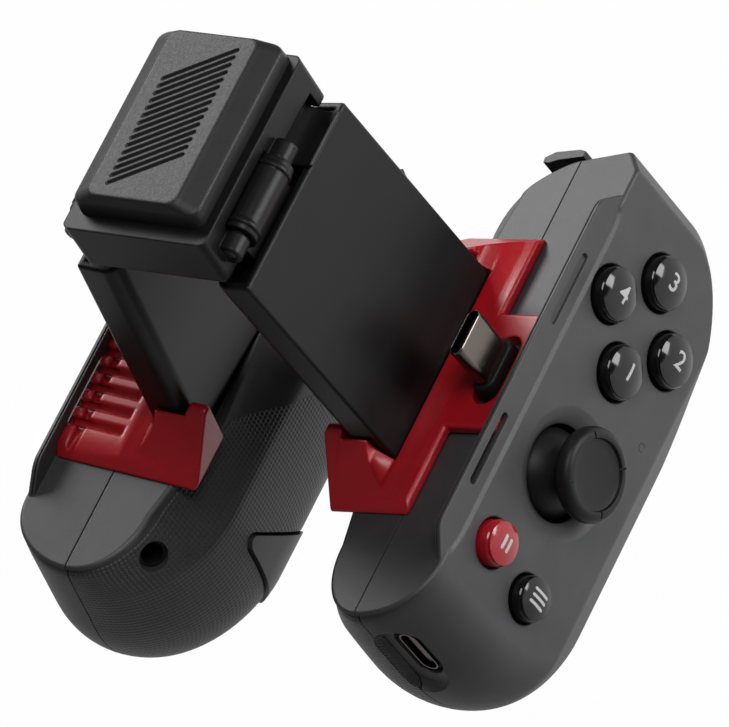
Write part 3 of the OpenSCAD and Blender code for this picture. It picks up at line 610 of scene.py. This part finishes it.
# Finishes of the solids that stay
kept = {"dpad_post": BLACK, "dpad_pivot": STEEL, "headphone_socket": DARK, "charging_socket": NICKEL,
        "status_light": LIGHT}
paired = {"hinge_pin": STEEL, "trigger_pin": STEEL, "board": BOARD, "keypad": RUBBER, "stick_base": BLACK,
          "stick_ring": STEEL, "stick_post": STICK}
for side in ("right", "left"):
    for part, material in paired.items():
        kept[side + "_" + part] = material
for node, material in kept.items():
    mesh = frame["nodes"][node].data
    mesh.materials.clear()
    mesh.materials.append(material)


# Front shells
HOLE_RIM = [(0, -0.45), (0.06, -0.2), (0.2, -0.04), (0.45, 0.05), (0.45, CLEAR)]
DISH_RISE = [(0, 0.0), (0.08, 0.18), (0.24, 0.42), (0.46, 0.68), (0.7, 0.88), (0.88, 0.98), (1.0, 1.04)]
DISH_FOOT, DISH_COUNT = 0.4, 80
STICK_HOLE, STICK_RIM = 7.6, 10.6
DPAD_HOLE, DPAD_RIM = DPAD_SPAN / 2 + 1.2, DPAD_SPAN / 2 + 2.2
LIP_LOW, LIP_HIGH = -CRADLE_HALF - 2.6, CRADLE_HALF + 4.6
LIP_TOP, LIP_FOOT, LIP_EDGE = FRONT - 0.35, FRONT - LIP_T, GI - LIP_OUT
LIP_R, STEP_R = 1.6, 1.2
SLOT_X, SLOT_W, SLOT_L, SLOTS = GI - 1.3, 1.3, 13, ((16, 0.55), (-14, 2.2))
CAVITY_IN, CAVITY_OUT, CAVITY_LOW, CAVITY_HIGH, CAVITY_R = GI + 1.6, OUT - 6.4, -BOTTOM + 11, TOP - 6, 8
LIGHT_HOLE = [(0, PART), (0.62, PART), (0.62, FRONT - 0.1), (0.8, FRONT + 0.02), (0.8, FRONT + 2),
              (0, FRONT + 2)]
PORT_DEEP, PORT_FIT = -BOTTOM + 2.4, 0.04
RECESS_SPOT = (PORT_X + 1.2, 7.9)
RECESS_STEPS = [(-3, 16.4, 9.2), (-0.4, 15.8, 8.6), (0.3, 15.5, 8.3), (0.9, 14.9, 7.7), (1.3, 14.1, 6.9),
                (1.45, 13.2, 6.0)]


def hole(spot, r):
    """Round cutter whose rim flares at the face."""
    profile = [(0, PART - 1), (r, PART - 1)] + [(r + a, FRONT + b) for a, b in HOLE_RIM]
    return lathe("hole", profile + [(0, FRONT + CLEAR)], spot)


def dish(spot, r, rim):
    """Round cutter whose bowl rises from the hole to a wider rim."""
    drop = FRONT - PLATE_BACK
    profile = [(0, PART - 1), (r, PART - 1), (r, PLATE_BACK + 0.3)]
    profile += [(r + (rim - r) * a, PLATE_BACK + DISH_FOOT + (drop - DISH_FOOT) * b) for a, b in DISH_RISE]
    profile += [(rim + 0.6, FRONT + 0.09), (rim + 0.6, FRONT + CLEAR), (0, FRONT + CLEAR)]
    return lathe("dish", profile, spot, DISH_COUNT)


def port_recess():
    """Wide hollow round the charging port, across the line between the shells."""
    return stack("recess", [(-BOTTOM + y, stadium(w, h, RECESS_SPOT)) for y, w, h in RECESS_STEPS], "y")


def port_hole():
    """Opening for the charging socket, with a moat round its mouth."""
    at = (PORT_X, PORT_Z)
    fit = stadium(PORT_W + PORT_FIT, PORT_T + PORT_FIT, at)
    return stack("port", [(PORT_DEEP - 1.6, stadium(PORT_W + 1.8, PORT_T + 1.6, at)),
                          (PORT_DEEP, stadium(PORT_W + 1.6, PORT_T + 1.4, at)),
                          (PORT_DEEP + 0.01, fit), (PORT_DEEP + 8, fit)], "y")


def shell_lip():
    """Thin lip along the inner side, with a fine line in its edge."""
    plan = rounded([(GI + 2, LIP_LOW - 7), (GI - 0.6, LIP_LOW - 4.2), (LIP_EDGE, LIP_LOW - 0.6),
                    (LIP_EDGE, LIP_HIGH + 0.4), (GI - 0.6, LIP_HIGH + 3.4), (GI + 2, LIP_HIGH + 6)], LIP_R)
    return stack("lip", [(LIP_FOOT - 0.35, grown(plan, -0.3)), (LIP_FOOT - 0.2, grown(plan, -0.05)),
                         (LIP_FOOT, plan), (LIP_FOOT + 0.02, grown(plan, -0.55)),
                         (LIP_FOOT + 0.22, grown(plan, -0.55)), (LIP_FOOT + 0.24, plan),
                         (LIP_TOP - 0.3, plan), (LIP_TOP - 0.08, grown(plan, -0.1)),
                         (LIP_TOP, grown(plan, -0.35))])


def lip_step():
    """Cutter for the low step between the lip and the face."""
    plan = rounded([(GI - 8, LIP_LOW - 3), (GI + 0.9, LIP_LOW - 3), (GI + 1.5, LIP_LOW + 1),
                    (GI + 1.5, LIP_HIGH - 1), (GI + 0.9, LIP_HIGH + 2), (GI - 8, LIP_HIGH + 2)], STEP_R)
    return stack("step", [(LIP_TOP, grown(plan, -0.5)), (LIP_TOP + 0.08, grown(plan, -0.25)),
                          (FRONT - 0.06, grown(plan, 0.1)), (FRONT + 0.03, grown(plan, 0.5)),
                          (FRONT + 1, grown(plan, 0.5))])


def lip_slot(y, deep):
    slot = stadium(SLOT_W, SLOT_L, (SLOT_X, y))
    return stack("slot", [(LIP_TOP - deep, grown(slot, -0.1)), (LIP_TOP - 0.12, slot),
                          (LIP_TOP + 0.02, grown(slot, 0.15)), (LIP_TOP + 1, grown(slot, 0.15))])


def front_shell(side, faces, crosses, stick):
    right = side == "right"
    shell = loft("front", grip_rings(front_line, PARTING))
    combine(shell, [shell_lip()], "UNION")
    combine(shell, [lip_step()])
    combine(shell, [lip_slot(y, deep) for y, deep in SLOTS])
    cavity = round_rect(CAVITY_OUT - CAVITY_IN, CAVITY_HIGH - CAVITY_LOW, CAVITY_R,
                        ((CAVITY_IN + CAVITY_OUT) / 2, (CAVITY_LOW + CAVITY_HIGH) / 2))
    combine(shell, [stack("cavity", [(PART - 1, cavity), (PLATE_BACK, cavity)])])
    tools = [hole(s, FACE_R + GAP) for s in faces]
    tools += [hole(s, SMALL_R + GAP) for s in (HOME_SPOT, MENU_SPOT)]
    tools += [dish(s, DPAD_HOLE, DPAD_RIM) for s in crosses]
    tools.append(dish(stick, STICK_HOLE, STICK_RIM))
    if right:
        tools.append(lathe("light", LIGHT_HOLE, LIGHT_SPOT, 24))
    combine(shell, tools)
    if right:
        combine(shell, [port_recess()])
        combine(shell, [port_hole()])
    node = side + "_front_shell"
    settle(shell, node + "_form", PLACES[side], side + "_grip", GREY, (node,))


FACE_SPOTS = [(CLUSTER_X + CLUSTER_R * x, CLUSTER_Y + CLUSTER_R * y)
              for x, y in ((0, -1), (1, 0), (0, 1), (-1, 0))]
front_shell("right", FACE_SPOTS, [], LOW_STICK)
front_shell("left", [], [DPAD_SPOT], HIGH_STICK)


# Rear shells and rear keys
JACK_BORE = [(0, -14), (2.62, -14), (2.62, -1.2), (2.3, -1.2), (2.3, -0.2), (2.5, 0.4), (3.0, 3), (0, 3)]


def rear_shell(side):
    shell = loft("rear", grip_rings(rear_line, -PARTING))
    half, slot_low, slot_high = ARM_W / 2 + GAP, ARM_FRONT - ARM_T - GAP, ARM_FRONT + GAP
    slot = [(-half, slot_low), (half, slot_low), (half, slot_high), (-half, slot_high)]
    combine(shell, [stack("arm slot", [(GI - FAR, slot), (ARM_END + 1, slot)], "u")])
    y0, z0, y1 = TRIGGER_PIVOT[0] - TRIGGER_ROOM, TRIGGER_PIVOT[1] + TRIGGER_ROOM, TOP + FAR
    room = [(y0, z0), (y1, z0), (y1, FAR_BACK), (y0, FAR_BACK)]
    near, far = BUMPER_Z
    stem = [(BUMPER_Y, near), (y1, near), (y1, far), (BUMPER_Y, far)]
    trigger_low, trigger_high = TRIGGER_MID - TRIGGER_W / 2 - GAP, TRIGGER_MID + TRIGGER_W / 2 + GAP
    combine(shell, [stack("trigger room", [(trigger_low, room), (trigger_high, room)], "u"),
                    stack("bumper room", [(x, stem) for x in BUMPER_X], "u")])
    plan = rounded(KEY_PLAN, KEY_PLAN_R)
    key_room = grown(plan, GAP + KEY_EXTRA_GAP)
    combine(shell, [stack("key room", [(FAR_BACK, key_room), (KEY_ROOM_TOP, key_room)])])
    if side == "right":
        combine(shell, [port_recess()])
    else:
        bore = lathe("jack", JACK_BORE)
        bore.data.transform(Matrix.Translation(JACK_SPOT) @ JACK_TURN)
        combine(shell, [bore])
    node = side + "_rear_shell"
    settle(shell, node + "_form", PLACES[side], side + "_grip", GRIP, (node,))
    # rear key: the shell's own back, raised and cut to the key's outline
    key = loft("key", grip_rings(rear_line, -PARTING, KEY_RAISED))
    combine(key, [stack("key plan", [(FAR_BACK, plan), (KEY_TOP, plan)])], "INTERSECT")
    bm = bmesh.new()
    bm.from_mesh(key.data)
    bmesh.ops.remove_doubles(bm, verts=bm.verts, dist=KEY_WELD)
    bmesh.ops.dissolve_limit(bm, angle_limit=KEY_FLAT, verts=bm.verts, edges=bm.edges)
    round_edges(bm, KEY_R, 40)
    bm.to_mesh(key.data)
    bm.free()
    node = side + "_rear_key"
    settle(key, node + "_form", PLACES[side], node, KEY, (node,))


rear_shell("right")
rear_shell("left")

# Pieces whose solids only need rounded edges
for side in ("right", "left"):
    dressed(side + "_cradle", side + "_grip", RED, 0.6, 1.0, 65)
    dressed(side + "_arm", side + "_arm", BLACK, 0.5)
    dressed(side + "_hinge_leaf", side + "_arm", BLACK, 0.2)
    dressed(side + "_bumper", side + "_bumper", SATIN, 0.35)
    dressed(side + "_trigger", side + "_trigger", SATIN, 0.5)
dressed("hub_frame", "hub", BLACK, 0.9)
dressed("hub_cover", "hub", DARK, 0.2)
dressed("dpad", "dpad", GLOSS, 0.5)


# Curved walls of the reliefs in the hub's sides, beyond the hinges
RELIEF_OUTER, RELIEF_INNER, RELIEF_ENDS = 5.28, 4.6, (4.9, 15.2)
RELIEF_FROM, RELIEF_TURN, RELIEF_COUNT = -148, 87, 16


def relief_wall(side):
    turns = [math.radians(RELIEF_FROM + RELIEF_TURN * i / RELIEF_COUNT) for i in range(RELIEF_COUNT + 1)]
    outline = [(RELIEF_OUTER * math.cos(a), RELIEF_OUTER * math.sin(a)) for a in turns]
    outline += [(RELIEF_INNER * math.cos(a), RELIEF_INNER * math.sin(a)) for a in reversed(turns)]
    wall = stack("wall", [(MID_Y + y, outline) for y in RELIEF_ENDS], "y")
    mirror = Matrix.Diagonal((1 if side == "right" else -1, 1, 1, 1))
    place = mirror @ Matrix.Translation((HINGE[0], 0, HINGE[2]))
    settle(wall, side + "_relief_wall", place, "hub", BLACK)


relief_wall("right")
relief_wall("left")

# Rubber pad on the hub; each step of its side gives a height and what its two lengths lose there
PAD_W, PAD_L, PAD_MID, PAD_TOP_W, PAD_T, PAD_R = 22.8, 32.8, 1.3, 16.2, 4.6, 1.8
PAD_STEPS = [(0, 0, 0), (2.4, 0, 0.45), (2.65, 0.1, 0.5), (2.85, 0.4, 0.55), (3.02, 0.9, 0.62),
             (4.08, 5.2, 1.25), (4.3, 5.9, 1.4), (4.48, 6.35, 1.65), (4.57, 6.8, 2.0), (4.6, 7.3, 2.6)]
GROOVE_W, GROOVE_PITCH, GROOVE_TURN = 0.6, 1.4, math.radians(33)
GROOVE_SHARE, GROOVE_MARGIN = 0.66, 11
pad = stack("pad", [(z, round_rect(PAD_W - a, PAD_L - b, PAD_R, (0, PAD_MID), 8)) for z, a, b in PAD_STEPS])
rows = int((PAD_L - GROOVE_MARGIN) / 2 / GROOVE_PITCH)
shape = stadium(PAD_TOP_W * GROOVE_SHARE / math.cos(GROOVE_TURN), GROOVE_W)
grooves = []
for i in range(-rows, rows + 1):
    groove = stack("groove", [(PAD_T - 0.4, grown(shape, -0.12)), (PAD_T - 0.1, shape),
                              (PAD_T + 0.03, grown(shape, 0.12)), (PAD_T + 1, grown(shape, 0.12))])
    spot = Matrix.Translation((0, PAD_MID + i * GROOVE_PITCH, 0))
    groove.data.transform(spot @ Matrix.Rotation(GROOVE_TURN, 4, "Z"))
    grooves.append(groove)
combine(pad, grooves)
settle(pad, "phone_pad_form", HUB_FRAME, "hub", RUBBER, ("phone_pad",))


# Buttons
BUTTON_TOP, BUTTON_FOOT, FLANGE = FRONT + PROUD, PLATE_BACK - 1.4, 0.5
BUTTON_EDGE = [(0, -1.55), (-0.04, -1.3), (-0.14, -1.1), (-0.3, -0.95)]
TOP_SHARES = (0.92, 0.84, 0.74, 0.62, 0.48, 0.34, 0.18)
DOME, DIGIT_SIZE, DIGIT_HALF, DIGIT_BOLD = 0.05, 4.4, 0.06, 0.04
BAR_LOW, BAR_HIGH = BUTTON_TOP - 0.09, BUTTON_TOP + 0.04


def dome(distance):
    """Fall of a button's top towards its edge."""
    return DOME * distance * distance


def over_dome(obj, spot):
    """Lays a flat mark over a button's top."""
    bm = bmesh.new()
    bm.from_mesh(obj.data)
    bmesh.ops.remove_doubles(bm, verts=bm.verts, dist=CAD_WELD)
    for cuts, longest in ((3, 1.0), (1, 0.3)):
        edges = [e for e in bm.edges if e.calc_length() > longest]
        bmesh.ops.subdivide_edges(bm, edges=edges, cuts=cuts)
    bmesh.ops.triangulate(bm, faces=bm.faces, quad_method="BEAUTY", ngon_method="BEAUTY")
    for v in bm.verts:
        v.co.z -= dome(math.hypot(v.co.x - spot[0], v.co.y - spot[1]))
    bm.to_mesh(obj.data)
    bm.free()
    return obj


def button(node, spot, r, material, place):
    foot, flange = BUTTON_FOOT, r + FLANGE
    profile = [(0, foot), (flange, foot), (flange, foot + 1.0), (r, foot + 1.05)]
    profile += [(r + a, BUTTON_TOP + z) for a, z in BUTTON_EDGE]
    profile += [(r * share, BUTTON_TOP - dome(r * share)) for share in TOP_SHARES] + [(0, BUTTON_TOP)]
    settle(lathe(node, profile, spot, 96), node + "_form", place, node, material, (node,))


def digit(node, text, spot, place):
    """White figure laid on a button's top."""
    name = node + "_mark"
    curve = bpy.data.curves.new(name, "FONT")
    curve.body = text
    curve.size = DIGIT_SIZE
    curve.align_x, curve.align_y = "CENTER", "CENTER"
    curve.extrude = DIGIT_HALF
    curve.offset = DIGIT_BOLD
    curve.resolution_u = 8
    source = bpy.data.objects.new(name, curve)
    bpy.context.scene.collection.objects.link(source)
    bpy.context.view_layer.update()
    mesh = bpy.data.meshes.new_from_object(source.evaluated_get(bpy.context.evaluated_depsgraph_get()))
    bpy.data.objects.remove(source)
    obj = bpy.data.objects.new(name, mesh)
    bpy.context.scene.collection.objects.link(obj)
    mesh.transform(Matrix.Translation((spot[0], spot[1], BUTTON_TOP)))
    settle(over_dome(obj, spot), name, place, node, WHITE)


def bars(node, size, offsets, spot, place):
    """White bars laid on a button's top."""
    name = node + "_mark"
    shapes = [stadium(*size, (spot[0] + x, spot[1] + y)) for x, y in offsets]
    objs = [stack(name, [(BAR_LOW, shape), (BAR_HIGH, shape)]) for shape in shapes]
    settle(over_dome(joined(objs), spot), name, place, node, WHITE)


for i, node in enumerate(("button_south", "button_east", "button_north", "button_west")):
    button(node, FACE_SPOTS[i], FACE_R, GLOSS, RIGHT)
    digit(node, str(i + 1), FACE_SPOTS[i], RIGHT)
button("home_button", HOME_SPOT, SMALL_R, RED_GLOSS, RIGHT)
button("menu_button", MENU_SPOT, SMALL_R, GLOSS, RIGHT)
button("view_button", HOME_SPOT, SMALL_R, GLOSS, LEFT)
button("capture_button", MENU_SPOT, SMALL_R, GLOSS, LEFT)
bars("menu_button", (3.4, 0.5), [(0, -1.1), (0, 0), (0, 1.1)], MENU_SPOT, RIGHT)
bars("home_button", (0.6, 2.6), [(-0.6, 0), (0.6, 0)], HOME_SPOT, RIGHT)
bars("view_button", (2.6, 0.5), [(0, -0.7), (0, 0.7)], HOME_SPOT, LEFT)
bars("capture_button", (0.5, 2.4), [(0, 0)], MENU_SPOT, LEFT)

# Thumbstick caps: the neck fits over the post, and the side's heights are from the cap's underside
CAP_LOW, CAP_NECK = FRONT + 3.0, PART + 13.9
CAP_SIDE = [(3.2, -0.7), (3.6, -0.3), (5.8, 0.0), (6.6, 0.25), (7.15, 0.75), (7.4, 1.4), (7.4, 2.2),
            (7.22, 2.75), (6.85, 3.15), (6.3, 3.36), (5.85, 3.4), (5.62, 3.33), (5.52, 3.1), (5.44, 2.86),
            (5.2, 2.78), (4.0, 2.68), (2.0, 2.6), (0, 2.57)]
NOTCH_R, NOTCH_LOW, NOTCH_HIGH = 6.0, CAP_LOW + 3.0, CAP_LOW + 4


def stick_cap(side, spot):
    profile = [(0, CAP_NECK + 0.4), (3.0, CAP_NECK + 0.4), (3.2, CAP_NECK + 0.6)]
    profile += [(r, CAP_LOW + z) for r, z in CAP_SIDE]
    cap = lathe("cap", profile, spot, 96)
    notch = round_rect(1.4, 0.3, 0.1)
    cuts = []
    for i in range(4):
        turn = Matrix.Rotation(math.pi / 4 + i * math.pi / 2, 4, "Z")
        cut = stack("cut", [(NOTCH_LOW, notch), (NOTCH_HIGH, notch)])
        middle = Matrix.Translation((spot[0], spot[1], 0))
        cut.data.transform(middle @ turn @ Matrix.Translation((NOTCH_R, 0, 0)))
        cuts.append(cut)
    combine(cap, cuts)
    node = side + "_stick_cap"
    settle(cap, node + "_form", PLACES[side], node, STICK, (node,))


stick_cap("right", LOW_STICK)
stick_cap("left", HIGH_STICK)

# Phone plug: drawn tube with a rounded mouth, boot, tongue and contacts
PLUG_SPOT, PLUG_TIP = (0, PLUG_UP), PLUG_ROOT - PLUG_L
MOUTH = [(0.5, 0), (0.2, 0.06), (0.05, 0.2), (0, 0.36), (0.05, 0.54), (0.2, 0.66), (0.5, 0.7)]
BOOT_W, BOOT_T = PLUG_W + 1.6, PLUG_T + 1.4
BOOT_EDGE = [(0.5, 0), (0.2, 0.12), (0.05, 0.36), (0, 0.7)]
TONGUE_W, TONGUE_T = PLUG_W - 1.7, 0.7
CONTACT_W, CONTACT_T, CONTACT_R, CONTACT_UP, CONTACT_ENDS = 0.4, 0.16, 0.06, 0.4, (1.2, 4.0)
tube = [(PLUG_ROOT + 1, 0)] + [(PLUG_TIP + x, a) for x, a in MOUTH] + [(PLUG_ROOT - 1.5, 0.7)]
plug = stack("plug", [(x, stadium(PLUG_W - a, PLUG_T - a, PLUG_SPOT)) for x, a in tube], "u")
settle(plug, "phone_plug_shell_form", RIGHT, "right_grip", NICKEL, ("phone_plug_shell",))
steps = [(GI, 0)] + [(PLUG_ROOT + x, a) for x, a in BOOT_EDGE]
boot = stack("boot", [(x, stadium(BOOT_W - a, BOOT_T - a, PLUG_SPOT)) for x, a in steps], "u")
tongue_steps = [(PLUG_ROOT - 1.4, 0), (PLUG_TIP + 1.0, 0), (PLUG_TIP + 0.9, 0.2)]
tongue = stack("tongue", [(x, stadium(TONGUE_W - a, TONGUE_T - a, PLUG_SPOT)) for x, a in tongue_steps], "u")
settle(joined([boot, tongue]), "phone_plug_core_form", RIGHT, "right_grip", DARK,
       ("phone_plug_core",))
pads = []
for i in range(6):
    for s in (-1, 1):
        contact = round_rect(CONTACT_W, CONTACT_T, CONTACT_R, (-2.5 + i, PLUG_UP + s * CONTACT_UP))
        pads.append(stack("contact", [(PLUG_TIP + x, contact) for x in CONTACT_ENDS], "u"))
settle(joined(pads), "plug_contacts", RIGHT, "right_grip", GOLD)

# Floor, low enough for the grips at the end of their slides
FLOOR_Z, FLOOR_SIZE, FLOOR_GREY, FLOOR_WHITE = -0.025, 6, 0.5, 0.985
# where the floor's painted light for mirrored rays runs from dim to full, and how dim it is in front
SWEEP_FRONT, SWEEP_BACK, SWEEP_DIM = -0.1, 0.03, 0.25
bpy.ops.mesh.primitive_plane_add(size=FLOOR_SIZE, location=(0, 0, FLOOR_Z))
floor = bpy.context.object
floor.name = "floor"
material, tree, shader = nodes_of("floor")
tree.nodes.remove(shader)
diffuse = add(tree, "ShaderNodeBsdfDiffuse", Color=(FLOOR_GREY, FLOOR_GREY, FLOOR_GREY, 1))
white = add(tree, "ShaderNodeEmission", Color=(1, 1, 1, 1), Strength=1.0)
path = add(tree, "ShaderNodeLightPath")
seen = math_node(tree, "MAXIMUM", path.outputs["Is Camera Ray"], path.outputs["Is Glossy Ray"])
seen = math_node(tree, "MAXIMUM", seen, path.outputs["Is Transmission Ray"])
blend = add(tree, "ShaderNodeMixShader")
tree.links.new(math_node(tree, "MULTIPLY", seen, FLOOR_WHITE), blend.inputs["Fac"])
# painted light on the floor: for mirrored rays its white is full behind the object and dimmer in front of
# it, as if the sweep were lit from behind
place = add(tree, "ShaderNodeSeparateXYZ")
tree.links.new(add(tree, "ShaderNodeNewGeometry").outputs["Position"], place.inputs[0])
painted_sweep_light = add(tree, "ShaderNodeMapRange")
painted_sweep_light.inputs["From Min"].default_value = SWEEP_FRONT
painted_sweep_light.inputs["From Max"].default_value = SWEEP_BACK
painted_sweep_light.inputs["To Min"].default_value = SWEEP_DIM
tree.links.new(place.outputs["Y"], painted_sweep_light.inputs["Value"])
plain = math_node(tree, "MAXIMUM", path.outputs["Is Camera Ray"], path.outputs["Is Transmission Ray"])
tree.links.new(math_node(tree, "MAXIMUM", plain, painted_sweep_light.outputs["Result"]), white.inputs["Strength"])
tree.links.new(diffuse.outputs[0], blend.inputs[1])
tree.links.new(white.outputs[0], blend.inputs[2])
tree.links.new(blend.outputs[0], tree.nodes["Material Output"].inputs["Surface"])
floor.data.materials.append(material)

# World: soft light, white where it is seen
WORLD_LIGHT = 0.09
world = bpy.data.worlds.new("studio")
bpy.context.scene.world = world
world.use_nodes = True
tree = world.node_tree
background = tree.nodes["Background"]
background.inputs["Color"].default_value = (1, 1, 1, 1)
path = add(tree, "ShaderNodeLightPath")
seen = math_node(tree, "MAXIMUM", path.outputs["Is Camera Ray"], path.outputs["Is Transmission Ray"])
strength = add(tree, "ShaderNodeMapRange")
strength.inputs["To Min"].default_value = WORLD_LIGHT
strength.inputs["To Max"].default_value = 1.0
tree.links.new(seen, strength.inputs["Value"])
tree.links.new(strength.outputs["Result"], background.inputs["Strength"])


# Lamps
LAMP_TARGET = (0, 0, 0.05)


def softbox(name, spot, size, power):
    data = bpy.data.lights.new(name, "AREA")
    data.shape = "RECTANGLE"
    data.size, data.size_y = size
    data.energy = power
    lamp = bpy.data.objects.new(name, data)
    bpy.context.scene.collection.objects.link(lamp)
    lamp.location = spot
    lamp.rotation_euler = (Vector(LAMP_TARGET) - Vector(spot)).to_track_quat("-Z", "Y").to_euler()


softbox("key", (-0.65, 0.44, 0.65), (0.5, 0.5), 6)
softbox("top", (0.42, 0, 0.85), (0.4, 0.4), 3)
softbox("right", (0.85, 0.45, 0.2), (0.3, 0.6), 5)

# Camera, fitted to the photograph's frame of 729 by 727
IMAGE_W, FOCAL_PX, SENSOR = 729, 9515.35, 36
scene = bpy.context.scene
scene.view_settings.view_transform = "Standard"
data = bpy.data.cameras.new("camera")
camera = bpy.data.objects.new("camera", data)
scene.collection.objects.link(camera)
data.sensor_width = SENSOR
data.lens = SENSOR * FOCAL_PX / IMAGE_W
data.clip_start, data.clip_end = 0.05, 20
across, up = Vector((0.822442, 0.408972, -0.395388)), Vector((-0.116592, 0.801502, 0.586516))
back = across.cross(up)
spot = HUB_FRAME @ Vector((814.987, -633.366, 971.26)) * MM
camera.matrix_world = Matrix(((across.x, up.x, back.x, spot.x), (across.y, up.y, back.y, spot.y),
                              (across.z, up.z, back.z, spot.z), (0, 0, 0, 1)))
scene.camera = camera
